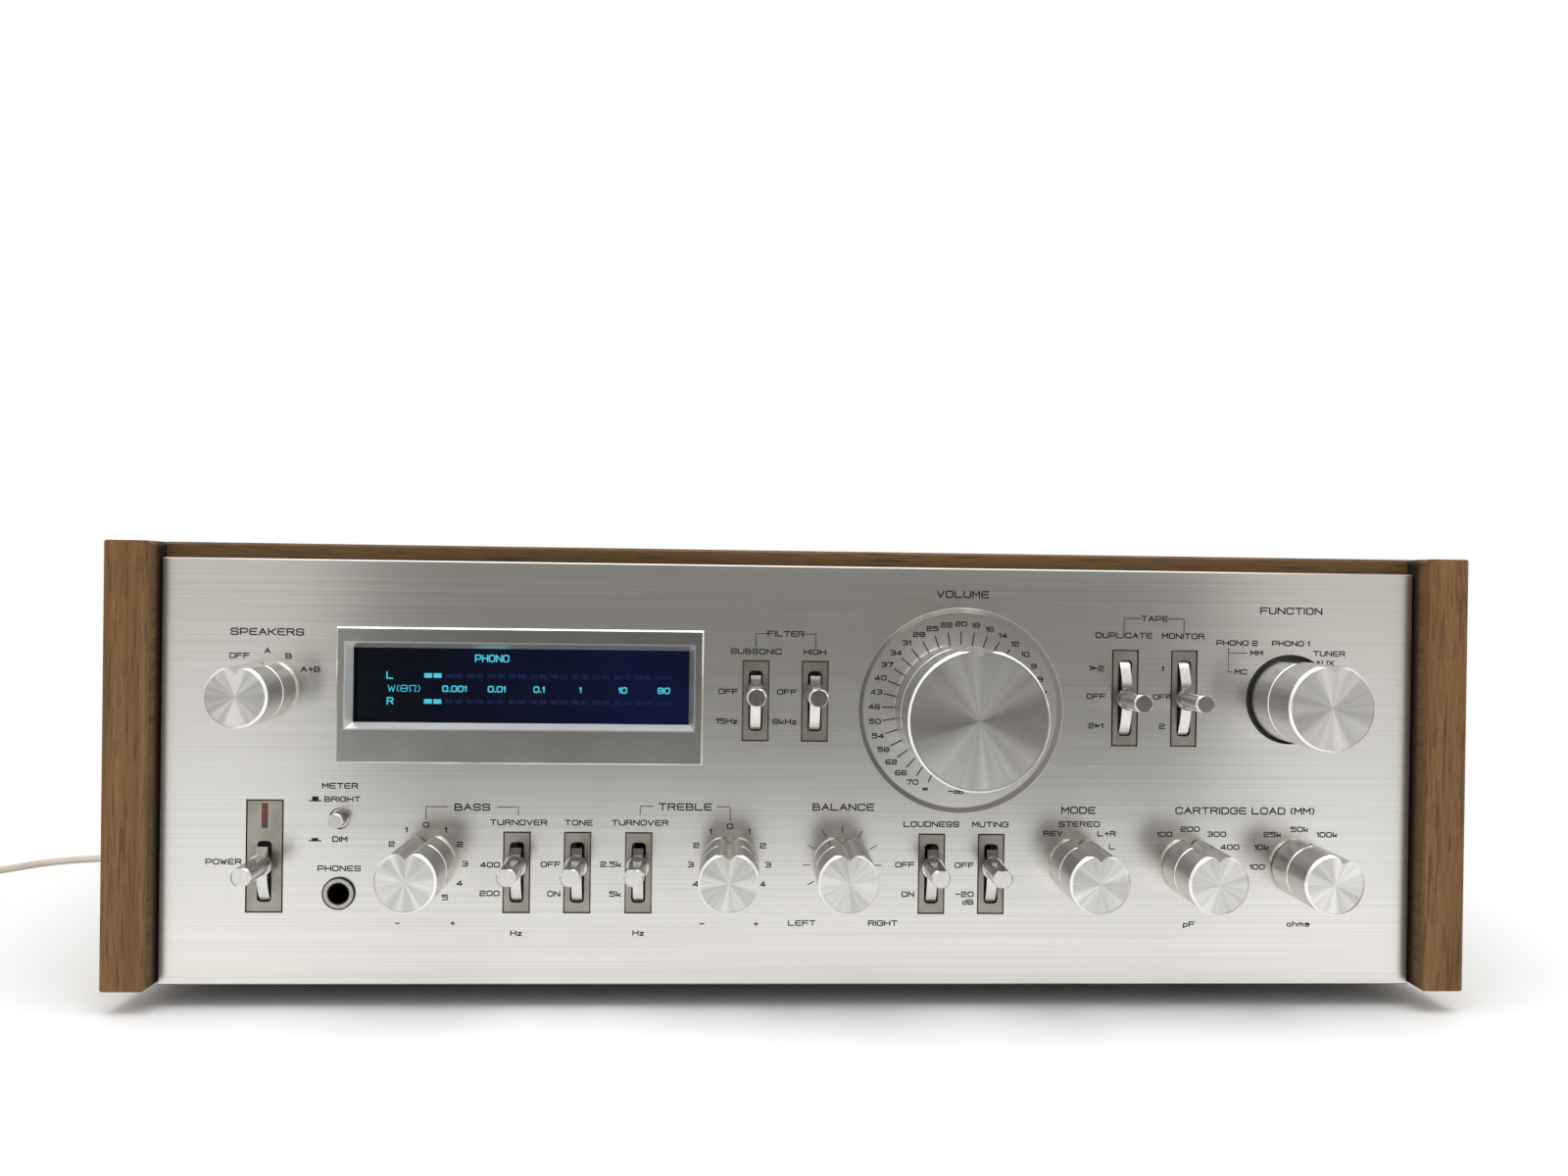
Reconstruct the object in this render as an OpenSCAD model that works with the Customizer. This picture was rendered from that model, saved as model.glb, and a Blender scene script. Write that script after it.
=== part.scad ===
/* [Faceplate] */
// Width of the faceplate
face_w = 420; // [400:1:460]
// Height of the faceplate
face_h = 140.5; // [136:0.5:150]
// Thickness of the faceplate
face_t = 4; // [3:0.5:6]
// Height of the faceplate's lower edge above the floor
face_lift = 8; // [5:0.5:12]
// Bevel round the faceplate's front edge
face_bevel = 0.4; // [0.2:0.1:1.5]

/* [Wooden case] */
// Thickness of each wooden side
side_t = 15; // [10:0.5:20]
// How far the sides stand in front of the faceplate
side_proud = 6.9; // [2:0.1:12]
// Gap between the faceplate and the wood
wood_gap = 0.5; // [0.3:0.1:0.9]
// Thickness of the wooden top
top_t = 8; // [6:0.5:12]
// How far the wooden top rises above the faceplate
top_rise = 5.2; // [3:0.1:7]
// Rounding of the wooden edges
wood_r = 1.5; // [0.5:0.1:4]
// Distance from the faceplate's front to the rear edge of the case
case_back = 372; // [350:1:420]
// Length of the slots in the wooden top
vent_l = 150; // [60:1:180]
// Width of those slots
vent_w = 5; // [3:0.5:6]
// Distance between those slots
vent_pitch = 12; // [9:0.5:14]

/* [Chassis] */
// Thickness of the sheet steel
sheet_t = 1.2; // [0.8:0.1:2]
// Distance from the faceplate's front to the sub-panel
sub_d = 12; // [11:0.5:16]
// How far the rear panel is set into the case
rear_inset = 12; // [10:0.5:20]
// Height of the folded flanges on the base
flange_h = 16; // [12:0.5:24]
// Height of the feet
foot_h = 10; // [8:0.5:16]
// Diameter of the feet
foot_d = 36; // [24:1:44]
// Distance from the feet's centres to the ends of the faceplate
foot_in = 45; // [30:1:80]
// Distance from the feet's centres to the front and the rear of the chassis
foot_back = 50; // [35:1:80]
// Diameter of the screws
screw_d = 3.5; // [2.5:0.1:4.5]
// Height of a screw's head
head_h = 2.4; // [1.5:0.1:3]
// Thickness of the web in a foot that its screw holds
foot_web = 3; // [2:0.5:4]
// Distance from the wooden sides' end screws to the front and the rear
case_screw_in = 60; // [45:1:90]
// Clearance of a shaft or pin that turns
run_fit = 0.05; // [0.03:0.01:0.15]
// Clearance of a piece that fits in a hole without touching
fit = 0.02; // [0.01:0.01:0.1]
// Gap between the sheets, which slide past each other
slip = 0.3; // [0.1:0.05:0.5]

/* [Knobs] */
// Diameter of the small knobs
knob_d = 19.6; // [16:0.1:22]
// How far the small knobs stand in front of the faceplate
knob_reach = 25; // [18:0.5:28]
// Diameter of the function knob
function_d = 28; // [22:0.5:32]
// How far the function knob stands out
function_reach = 28.8; // [20:0.1:30]
// Clear ring in the faceplate round the function knob
function_ring = 1.3; // [0.8:0.1:3]
// Diameter of the volume knob
volume_d = 45; // [36:0.5:50]
// How far the volume knob stands out
volume_reach = 30.5; // [29.5:0.5:40]
// Diameter of the dished volume dial
dial_d = 70; // [60:0.5:76]
// Depth of the volume dial
dial_depth = 1.6; // [1:0.1:2.2]
// Width of the dial's sloping wall
dial_slope = 2; // [1:0.1:4]
// Depth of the flat along the top of each knob
flat_depth = 1; // [0.5:0.1:1.5]
// Width of the pointer groove in that flat
notch_w = 3.6; // [2:0.1:4.2]
// Depth of the pointer groove
notch_depth = 1.6; // [0.8:0.1:2]
// Diameter of the control shafts
shaft_d = 6; // [5:0.1:6.4]
// Gap between a knob and the surface behind it
knob_gap = 0.8; // [0.4:0.1:1.2]
// Bevel of a knob's edges
knob_edge = 0.5; // [0.2:0.1:0.8]
// Depth of the fine ring round a knob
ring_groove = 0.35; // [0.2:0.05:0.6]
// Place of that ring, as a share of the knob's reach
ring_at = 0.48; // [0.4:0.01:0.6]
// Depth of a shaft inside its control
shaft_in = 12; // [8:0.5:12]
// Metal of a knob in front of its shaft's bore
knob_cap = 6; // [4:0.5:8]

/* [Lever switches] */
// Width of the switch plates
plate_w = 8.1; // [7.4:0.1:10]
// Width of the power switch's plate
power_plate_w = 11.2; // [9:0.1:13]
// Width of the slots
slot_w = 4.7; // [4.2:0.1:5]
// Slot length from the lever's pivot down, and up on a three-way switch
slot_long = 12.9; // [12.2:0.1:13.2]
// Slot length from the pivot up on a two-way switch
slot_short = 7.3; // [6.8:0.1:9]
// Plate beyond each end of a slot
plate_end = 3; // [2.4:0.1:4]
// Thickness of a plate's web and of its flange
plate_t = 0.8; // [0.6:0.1:1]
// Depth of that flange behind the faceplate's front
plate_lip = 1.6; // [1.2:0.1:2]
// Gap round a plate
plate_gap = 0.5; // [0.2:0.05:0.6]
// Width of the flange round a plate
plate_flange = 2.5; // [1.5:0.1:3]
// Height of the power plate above that of the other two-way plates
power_extra = 10.2; // [9.8:0.1:11]
// Height of the lamp's centre above the power lever's pivot
lamp_up = 15.7; // [15.4:0.1:16]
// Height of the lamp's lens
lamp_h = 8.2; // [6:0.1:8.4]
// Width of the lamp's lens
lamp_w = 2; // [1.4:0.1:3]
// Radius of the curved shutter on a lever
shutter_r = 23; // [22.6:0.1:23.4]
// How far the shutter bulges in front of the faceplate
shutter_bulge = 2.7; // [2.2:0.1:2.8]
// Width of the shutter
shutter_w = 3.4; // [2.6:0.1:3.8]
// Diameter of the lever's grip
grip_d = 6.4; // [5:0.1:7.5]
// Height of the grip between its flats
grip_h = 5.4; // [4.2:0.1:6]
// How far a lever's tip stands in front of the faceplate
lever_reach = 19; // [14:0.5:24]
// Swing of a lever from one position to the next
lever_swing = 20; // [12:1:22]
// Bevel of a lever's tip
grip_edge = 0.5; // [0.2:0.1:0.8]
// Thickness of the shutter
rim_t = 1.4; // [1:0.1:1.8]
// Thickness of the lever's collar
collar_t = 1; // [0.6:0.1:1.6]
// Height of the lever's arm
arm_h = 5; // [4:0.1:5.5]
// Diameter of the lever's pivot pin
pin_d = 3; // [2:0.1:3.4]
// Diameter of the lever's hub
hub_d = 7; // [6:0.1:7.5]
// Length of the lever's tail behind its pivot
tail_l = 9; // [7:0.5:10]
// Thickness of the lever's tail
tail_h = 3; // [2:0.1:4]
// Thickness of the switch frame's cheeks
cheek_t = 1.2; // [0.8:0.1:1.6]
// Height of the cheeks
cheek_h = 24; // [20:0.5:28]
// Width of the frame's feet
frame_w = 14; // [12:0.5:16]
// Length of the contact block
block_l = 12; // [8:0.5:16]
// Length of the contacts' lugs
lug_l = 4; // [2:0.5:5]

/* [Meter] */
// Width of the meter bezel
bezel_w = 120.7; // [112:0.1:130]
// Height of the meter bezel
bezel_h = 44.9; // [42:0.1:50]
// How far the bezel stands in front of the faceplate
bezel_proud = 1; // [0.5:0.1:2]
// Width of the display window
window_w = 111.1; // [100:0.1:115]
// Height of the display window
window_h = 24.8; // [20:0.1:28]
// Height of the window's lower edge above the bezel's lower edge
window_up = 13.2; // [8:0.1:15]
// Width of the sloping reveal round the window
reveal = 1.7; // [0.8:0.1:2.4]
// Width of the raised line round the reveal
line_w = 0.5; // [0.3:0.1:0.6]
// Height of that line
line_h = 0.25; // [0.1:0.05:0.5]
// Depth of the window behind the faceplate's front
window_d = 1.8; // [1.4:0.1:2]
// Thickness of the window
window_t = 2; // [1.5:0.1:2.5]
// Edge of the window held behind the bezel
window_lip = 1.5; // [1:0.1:1.6]
// Depth of the bezel's flange on the faceplate
bezel_lip = 2; // [1.5:0.1:2.4]
// Gap between the window and the display tube
tube_gap = 1; // [0.5:0.1:2]
// Thickness of a circuit board
board_t = 1.6; // [1:0.1:2]
// Diameter of the meter button
button_d = 5; // [4:0.1:6]
// How far the meter button stands in front of the faceplate
button_reach = 5; // [4:0.5:7]
// Travel of the meter button
button_travel = 3; // [2:0.5:4]
// Length of the button's rod inside its switch
button_in = 9; // [6:0.5:10]
// Gap round the meter button in the faceplate
button_gap = 1; // [0.5:0.1:1.5]
// Depth of the button's collar behind the faceplate's front
button_collar = 0.6; // [0.3:0.1:1]
// Bore of the headphone socket
phones_bore = 6.5; // [6.4:0.05:6.6]
// Diameter of the socket's ring
phones_ring_d = 10.7; // [10:0.1:13]
// How far that ring stands in front of the faceplate
phones_ring_h = 0.7; // [0.4:0.1:1.5]
// Diameter of the socket's neck
phones_neck_d = 9; // [8.4:0.1:9.4]
// Diameter of the socket's barrel
phones_barrel_d = 14; // [12:0.5:16]
// Depth of the socket's barrel behind the faceplate's front
phones_l = 40; // [36:0.5:44]

/* [Places on the faceplate] */
// Height of the lower row of controls above the faceplate's lower edge
lower_z = 40.2; // [36:0.1:44]
// Height of the upper row
upper_z = 97.3; // [94:0.1:100]
// Height of the volume knob
volume_z = 92.5; // [88:0.1:96]
// Height of the meter's centre
meter_z = 95.95; // [92:0.05:98]
// Height of the meter button
button_z = 55; // [52:0.1:58]
// Height of the headphone socket
phones_z = 30.3; // [26:0.1:33]
// Speakers knob, left of the centre
speakers_x = -175.6; // [-182:0.1:-172]
// Bass knob
bass_x = -123.3; // [-128:0.1:-118]
// Treble knob
treble_x = -22.8; // [-28:0.1:-18]
// Balance knob
balance_x = 15; // [10:0.1:20]
// Mode knob
mode_x = 95.2; // [90:0.1:100]
// Load capacitance knob
capacitance_x = 133.6; // [128:0.1:138]
// Load resistance knob
resistance_x = 171.3; // [166:0.1:176]
// Function knob
function_x = 167.5; // [162:0.1:172]
// Volume knob
volume_x = 54.5; // [50:0.1:58]
// Meter's centre
meter_x = -92.65; // [-94:0.05:-90]
// Power lever
power_x = -175.8; // [-182:0.1:-172]
// Meter button and headphone socket
phones_x = -151.5; // [-155:0.1:-149]
// Bass turnover lever
bass_turnover_x = -93.4; // [-96:0.1:-90]
// Tone lever
tone_x = -73.4; // [-76:0.1:-70]
// Treble turnover lever
treble_turnover_x = -53.1; // [-56:0.1:-50]
// Loudness lever
loudness_x = 45.2; // [42:0.1:48]
// Muting lever
muting_x = 65.4; // [62:0.1:68]
// Subsonic filter lever
subsonic_x = -14.8; // [-17:0.1:-12]
// High filter lever
high_filter_x = 5.05; // [2:0.05:8]
// Tape duplicate lever
duplicate_x = 110.4; // [107:0.1:113]
// Tape monitor lever
monitor_x = 130.7; // [128:0.1:134]

/* [Inner pieces] */
// Width of the power transformer's core
core_w = 96; // [80:1:110]
// Thickness of the core's stack
core_t = 60; // [40:1:70]
// Height of the core
core_h = 82; // [60:1:100]
// Transformer's centre, left of the middle
transformer_x = -120; // [-135:1:-110]
// Transformer's centre behind the faceplate's front
transformer_d = 225; // [215:1:260]
// Thickness of each winding beside the core
winding_t = 26; // [15:0.5:30]
// Core beyond the windings at each edge
winding_in = 10; // [6:0.5:15]
// Rounding of the windings
winding_r = 10; // [4:0.5:14]
// Diameter of the core's bolts
bolt_d = 5; // [3:0.5:6]
// Distance from the bolts to the core's edges
bolt_in = 8; // [6:0.5:9]
// Height of the bolts' nuts
nut_h = 4; // [3:0.5:5]
// Diameter of the filter capacitors
can_d = 50; // [40:1:54]
// Height of the filter capacitors
can_h = 92; // [60:1:110]
// Gap between the filter capacitors
can_gap = 6; // [3:0.5:8]
// Centre of the first capacitor across
capacitor_x = -28; // [-32:1:-24]
// Centre of the first capacitor behind the faceplate's front
capacitor_d = 190; // [180:1:200]
// Diameter of a capacitor's screw terminals
can_stud_d = 6; // [4:0.5:8]
// Height of those terminals
can_stud_h = 4; // [3:0.5:6]
// Distance between them
can_stud_pitch = 14; // [10:0.5:20]
// Length of the heat sinks
sink_l = 200; // [120:1:220]
// Height of the heat sinks
sink_h = 100; // [70:1:112]
// Length of the fins
fin_l = 30; // [15:0.5:34]
// Number of fins on a heat sink
fins = 9; // [5:1:11]
// Thickness of a heat sink's plate
sink_t = 6; // [4:0.5:8]
// Thickness of a fin
fin_t = 2; // [1:0.1:3]
// Distance between the backs of the two heat sinks
sink_apart = 86; // [84:1:90]
// Heat sinks' centre behind the faceplate's front
sink_d = 200; // [170:1:224]
// Distance from the outer heat sink to the wooden side
sink_in = 19.5; // [16:0.5:22]
// Distance between the output transistors
transistor_pitch = 44; // [40:0.5:48]
// Width of a transistor's flange
flange_w = 26; // [22:0.5:28]
// Length of that flange
flange_l = 38; // [32:0.5:40]
// Thickness of that flange
flange_t = 2; // [1.5:0.1:3]
// Diameter of a transistor's cap
cap_d = 21; // [16:0.5:22]
// Height of that cap above the heat sink
cap_h = 9; // [6:0.5:10]
// Height of the boards above the base
spacer_h = 12; // [8:0.5:16]
// Diameter of the boards' spacers
spacer_d = 6; // [4:0.5:7]
// Distance from the spacers to the boards' edges
spacer_in = 6; // [4:0.5:7]
// Height of the parts on the boards
board_part_h = 16; // [8:0.5:20]
// Gap between the boards and the pieces beside them
board_gap = 6; // [4:0.5:9]

/* [Rear panel] */
// Columns of input jacks
jack_columns = 8; // [4:1:8]
// Distance between the jacks
jack_pitch = 18; // [16:0.5:20]
// Diameter of a jack's barrel
jack_d = 8.3; // [8:0.1:8.6]
// Number of screws on a speaker terminal strip
terminals = 4; // [2:1:4]
// Width of a mains outlet
outlet_w = 34; // [28:0.5:38]
// Height of a mains outlet
outlet_h = 24; // [20:0.5:28]
// Height of the lower row of jacks above the floor
jack_z = 42; // [36:0.5:50]
// Distance from the first jack to the rear panel's end
jack_in = 18.4; // [16:0.1:22]
// How far a jack stands out of the rear panel
jack_reach = 9; // [8:0.5:12]
// Bore of a jack's contact
jack_bore = 3.3; // [3.1:0.05:3.5]
// Height of the speaker terminal strips
strip_z = 48; // [40:0.5:56]
// Place of the first strip across
strip_x = -2; // [-6:0.5:2]
// Distance between the strips
strip_apart = 80; // [76:0.5:86]
// Height of a strip
strip_h = 24; // [20:0.5:28]
// Thickness of a strip
strip_t = 3; // [2:0.5:5]
// Distance between a strip's screws
terminal_pitch = 14; // [12:0.5:14.5]
// Height of the barriers between those screws
barrier_h = 6; // [3:0.5:8]
// Height of the mains outlets
outlet_z = 104; // [98:0.5:112]
// Place of the first outlet across
outlet_x = -60; // [-66:0.5:-56]
// Distance between the outlets
outlet_pitch = 45; // [40:0.5:48]
// Depth of an outlet's body behind the panel
outlet_l = 14; // [12:0.5:20]
// Thickness of an outlet's flange
outlet_t = 2; // [1:0.5:3]
// Thickness of an outlet's bottom behind its slots
outlet_end = 2; // [1:0.5:3]
// Distance between the two slots of an outlet or the blades of the plug
blade_pitch = 12.7; // [12:0.1:13]
// Thickness of the plug's blades
blade_t = 1.5; // [1.4:0.1:1.6]
// Height of the blades
blade_h = 6.3; // [6:0.1:6.6]
// Length of the blades
blade_l = 17; // [15:0.5:18]
// Distance from the ground terminal to the rear panel's end
ground_in = 8.4; // [8:0.1:10]
// Height of the ground terminal
ground_z = 82; // [78:0.5:90]
// Diameter of the ground terminal's nut
ground_d = 11; // [9:0.5:12]
// Distance from the mains lead to the rear panel's end
gland_in = 23.4; // [18:0.1:30]
// Height of the mains lead at the rear panel
gland_z = 32; // [28:0.5:36]
// Diameter of the strain relief
gland_d = 10; // [8:0.5:12]
// Length of the strain relief outside the panel
gland_l = 26; // [20:0.5:30]

/* [Mains lead] */
// Diameter of the lead
lead_d = 3; // [2.6:0.1:3.4]
// Radius of the coil's outer turn
coil_r = 38; // [36:0.5:42]
// Distance between the coil's turns
coil_pitch = 3.8; // [3.8:0.1:4.2]
// Turns in each of the coil's two layers
coil_turns = 3.66; // [3.66:0.01:3.67]
// Thickness of the tie's strap
tie_t = 0.6; // [0.5:0.1:1]
// Width of the tie's strap
tie_w = 6; // [4:0.5:8]
// Height of the coil's upper layer above the lower one
coil_gap = 3.6; // [3.6:0.1:4]
// Length of lead between the coil and the plug
plug_tail = 30; // [30:1:36]
// Length of the plug's body
plug_l = 22; // [18:0.5:28]
// Width of the plug's body
plug_w = 20; // [18:0.5:20.5]

/* [Hidden] */
$fn = 64;
eps = 0.01;

// The origin is at the middle of the footprint, on the floor
face_y = (volume_reach - case_back) / 2;
case_top = face_lift + face_h + top_rise;
side_in = face_w / 2 + wood_gap;
side_out = side_in + side_t;
cover_top = case_top - top_t;
cover_w = 2 * (side_in - slip);
base_w = cover_w - 2 * sheet_t - 2 * slip;
panel_end = base_w / 2 - slip;
base_z = foot_h;
floor_z = base_z + sheet_t;
roof_z = cover_top - sheet_t;
rear_d = case_back - rear_inset;
sub_back = sub_d + sheet_t;
inner_h = roof_z - floor_z;
bore_d = shaft_d + 2 * run_fit;
neck_d = shaft_d + 3.2;
pivot_d = shutter_r - shutter_bulge;
switch_d = pivot_d + tail_l + 2;
controls_back = switch_d + block_l + lug_l;
rim_long = acos((pivot_d - sub_d + 1) / shutter_r) - lever_swing;
collar_r = grip_d / 2 + 0.5;
// The collar clears the plate when the lever is swung to its end
collar_up = max(shutter_r + 0.2, (pivot_d + slip + collar_r * sin(lever_swing)) / cos(lever_swing));
arm_room = 2 * ((pivot_d - sub_d) * tan(lever_swing) + arm_h / 2 / cos(lever_swing) + 1);
rim_short = asin((slot_short - 1.5) / shutter_r);
cheek_in = shutter_w / 2 + 0.4;
window_z = meter_z - bezel_h / 2 + window_up + window_h / 2;
board_back = sub_back + board_t;

// Small knobs and the control behind each: place across, height, how the knob sits on its shaft
small_knobs = [
    [speakers_x, upper_z, 0], [bass_x, lower_z, 0], [treble_x, lower_z, 0], [balance_x, lower_z, 0],
    [mode_x, lower_z, 0], [capacitance_x, lower_z, 0], [resistance_x, lower_z, 18]
];
switched = [0, 4, 5, 6];
stepless = [1, 2, 3];
// Lever switches with two and with three positions: place across, height of the pivot
two_way = [
    [bass_turnover_x, lower_z], [tone_x, lower_z], [treble_turnover_x, lower_z], [loudness_x, lower_z],
    [muting_x, lower_z], [subsonic_x, upper_z + 0.7], [high_filter_x, upper_z + 0.7]
];
three_way = [[duplicate_x, upper_z], [monitor_x, upper_z]];
power_at = [power_x, lower_z];

// Local frame on the faceplate: X across, Y up, Z out towards the viewer, 0 at the front surface
module on_face(x, z) translate([x, face_y, face_lift + z]) rotate([90, 0, 0]) children();

// Local frame on the outside of the rear panel: X across, Y up, Z out of the back
module on_rear(x, z) translate([x, face_y + rear_d, z]) rotate([90, 0, 180]) children();

// Block between two depths behind the faceplate's front, centred across
module slab(w, h, d1, d2) translate([-w / 2, -h / 2, -d2]) cube([w, h, d2 - d1]);

// Round piece between two depths behind the faceplate's front
module rod(d, d1, d2) translate([0, 0, -d2]) cylinder(d = d, h = d2 - d1);

// Rectangle with round corners, centred
module rounded(w, h, r) {
    square([w - 2 * r, h], center = true);
    square([w, h - 2 * r], center = true);
    for (x = [-1, 1], y = [-1, 1]) translate([x * (w / 2 - r), y * (h / 2 - r)]) circle(r);
}

// Ring sector about the X axis, its angles measured from straight out towards up
module sector(r_in, r_out, w, from, to)
    rotate([0, 90, 0]) rotate([0, 0, 180 - to]) rotate_extrude(angle = to - from)
        translate([r_in, -w / 2]) square([r_out - r_in, w]);

// Window in the faceplate for a switch plate: the plate's outline in front, a wider pocket behind
module plate_window(w, up, down) {
    mid = (up - down) / 2;
    h = up + down + 2 * plate_end;
    translate([0, mid, 0]) {
        slab(w + 2 * plate_gap, h + 2 * plate_gap, -1, plate_lip + eps);
        slab(w + 2 * plate_flange + 1, h + 2 * plate_flange + 1, plate_lip, face_t + 1);
    }
}

// Plate with its slot: a thin web in front, a lip behind that seats in the faceplate's pocket
module plate(w, up, down) {
    mid = (up - down) / 2;
    h = up + down + 2 * plate_end;
    room = 2;
    difference() {
        translate([0, mid, 0]) {
            slab(w, h, 0, plate_lip + eps);
            slab(w + 2 * plate_flange, h + 2 * plate_flange, plate_lip, plate_lip + plate_t);
        }
        translate([0, mid, -plate_t - eps]) linear_extrude(plate_t + 1)
            rounded(slot_w, up + down, 1.4);
        translate([0, mid, 0]) slab(slot_w + 0.6, up + down + 2 * room, plate_t, plate_lip + plate_t + 1);
    }
}

// Turned knob with a flat and a pointer groove along its top and a fine ring round its middle
module knob(d, base, reach) {
    r = d / 2;
    top = r - flat_depth;
    ring = reach * ring_at;
    difference() {
        rotate_extrude() polygon([
            [0, -base], [r - knob_edge, -base], [r, knob_edge - base], [r, ring - ring_groove],
            [r - ring_groove, ring], [r, ring + ring_groove], [r, reach - knob_edge], [r - knob_edge, reach],
            [0, reach]
        ]);
        translate([-r, top, -base - 1]) cube([d, r, reach + base + 2]);
        translate([0, 0, -base - 1]) linear_extrude(reach + base + 2) polygon([
            [-notch_w / 2, top + 1], [-notch_w / 2, top], [0, top - notch_depth],
            [notch_w / 2, top], [notch_w / 2, top + 1]
        ]);
        translate([0, 0, -base - 1]) cylinder(d = shaft_d + 2 * fit, h = reach + base + 1 - knob_cap);
    }
}

// Shaft from inside the control to inside the knob
module shaft(reach) translate([0, 0, -sub_back - shaft_in])
    cylinder(d = shaft_d, h = sub_back + shaft_in + reach - knob_cap - 0.5);

// Control behind the sub-panel: a round body, and a threaded neck through the panel with the shaft's bore
module control(d, length) {
    difference() {
        union() {
            rod(d, sub_back, sub_back + length);
            rod(neck_d, sub_d - 4, sub_back + eps);
        }
        rod(bore_d, sub_d - 5, sub_back + shaft_in + 1);
    }
}

// Wafers of a rotary switch behind its detent plate
wafer_d = 32;
wafer_t = 1.6;
wafer_pitch = 7;
module rotary_switch() {
    body_d = 22;
    back = sub_back + shaft_in + 2;
    wafers = [back + 4, back + 4 + wafer_pitch];
    end = wafers[1] + wafer_t + 2.4;
    control(body_d, shaft_in + 2);
    for (at = wafers) rod(wafer_d, at, at + wafer_t);
    for (a = [0, 180]) rotate(a) translate([wafer_d / 4, 0, 0]) rod(4, back - eps, end);
    rod(8, back - eps, end - 2);
}

module small_knob(k) {
    at = small_knobs[k];
    on_face(at[0], at[1]) {
        color("silver") rotate(-at[2]) knob(knob_d, -knob_gap, knob_reach);
        color("gray") shaft(knob_reach);
    }
}

// Lever: hub on its pin, arm, curved shutter, collar and a grip with two flats
module lever(at, up) {
    tip = pivot_d + lever_reach;
    on_face(at[0], at[1]) translate([0, 0, -pivot_d]) color("gainsboro") difference() {
        union() {
            rotate([0, 90, 0]) cylinder(d = hub_d, h = shutter_w, center = true);
            translate([-shutter_w / 2, -arm_h / 2, 0]) cube([shutter_w, arm_h, shutter_r - rim_t / 2]);
            translate([-shutter_w / 2, -tail_h / 2, -tail_l]) cube([shutter_w, tail_h, tail_l]);
            sector(shutter_r - rim_t, shutter_r, shutter_w, -rim_long, up);
            translate([0, 0, shutter_r - rim_t])
                cylinder(d = shutter_w, h = collar_up + rim_t - shutter_r + eps);
            translate([0, 0, collar_up]) cylinder(r = collar_r, h = collar_t);
            intersection() {
                union() {
                    translate([0, 0, collar_up]) cylinder(d = grip_d, h = tip - collar_up - grip_edge);
                    translate([0, 0, tip - grip_edge - eps])
                        cylinder(d1 = grip_d, d2 = grip_d - 2 * grip_edge, h = grip_edge + eps);
                }
                translate([-grip_d, -grip_h / 2, collar_up]) cube([2 * grip_d, grip_h, tip]);
            }
        }
        rotate([0, 90, 0]) cylinder(d = pin_d + 2 * run_fit, h = 2 * shutter_w, center = true);
    }
}

// Frame of a lever switch: two cheeks with the pivot pin between them, in front of the contact block
module lever_switch(at) {
    lug_pitch = cheek_h / 6;
    block_back = switch_d + block_l;
    on_face(at[0], at[1]) {
        for (s = [-1, 1]) {
            translate([s * (cheek_in + cheek_t / 2), 0, 0]) slab(cheek_t, cheek_h, sub_back, switch_d + eps);
            translate([s * (frame_w / 2 + cheek_in) / 2, 0, 0])
                slab(frame_w / 2 - cheek_in, cheek_h, sub_back, sub_back + cheek_t);
        }
        slab(2 * (cheek_in + cheek_t), cheek_h, switch_d, block_back);
        translate([0, 0, -pivot_d]) rotate([0, 90, 0])
            cylinder(d = pin_d, h = 2 * cheek_in + cheek_t, center = true);
        for (k = [-2 : 2]) translate([0, k * lug_pitch, 0])
            slab(1, 1.6, block_back - eps, block_back + lug_l);
    }
}

// Section of the faceplate across a width, bevelled at its two front corners
module bevelled(w) polygon([
    [-w / 2, face_t], [-w / 2, face_bevel], [face_bevel - w / 2, 0],
    [w / 2 - face_bevel, 0], [w / 2, face_bevel], [w / 2, face_t]
]);

module faceplate() {
    color("gainsboro") difference() {
        translate([0, face_y, face_lift]) intersection() {
            linear_extrude(face_h) bevelled(face_w);
            translate([-face_w / 2, 0, face_h / 2]) rotate([0, 90, 0]) linear_extrude(face_w) bevelled(face_h);
        }
        for (k = small_knobs) on_face(k[0], k[1]) rod(shaft_d + 2, -1, face_t + 1);
        on_face(function_x, upper_z) rod(function_d + 2 * function_ring, -1, face_t + 1);
        on_face(volume_x, volume_z) rod(dial_d + 2 * fit, -1, face_t + 1);
        on_face(meter_x, meter_z) slab(bezel_w - 2 * bezel_lip, bezel_h - 2 * bezel_lip, -1, face_t + 1);
        for (k = two_way) on_face(k[0], k[1]) plate_window(plate_w, slot_short, slot_long);
        for (k = three_way) on_face(k[0], k[1]) plate_window(plate_w, slot_long, slot_long);
        on_face(power_x, lower_z) power_outline() plate_window(power_plate_w, slot_short, slot_long);
        on_face(phones_x, button_z) rod(button_d + 2 * button_gap, -1, face_t + 1);
        on_face(phones_x, phones_z) rod(phones_neck_d + 0.4, -1, face_t + 1);
    }
}

// The power switch's plate is taller by the lamp above its slot
module power_outline() {
    children();
    translate([0, power_extra, 0]) children();
}

module volume_dial() {
    r = dial_d / 2;
    back = face_t + 1;
    on_face(volume_x, volume_z) color("gainsboro") rotate_extrude() polygon([
        [shaft_d / 2 + 1, -dial_depth], [r - dial_slope, -dial_depth], [r - 0.3, 0], [r, 0], [r, -face_t],
        [r + 2, -face_t], [r + 2, -back], [shaft_d / 2 + 1, -back]
    ]);
}

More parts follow.
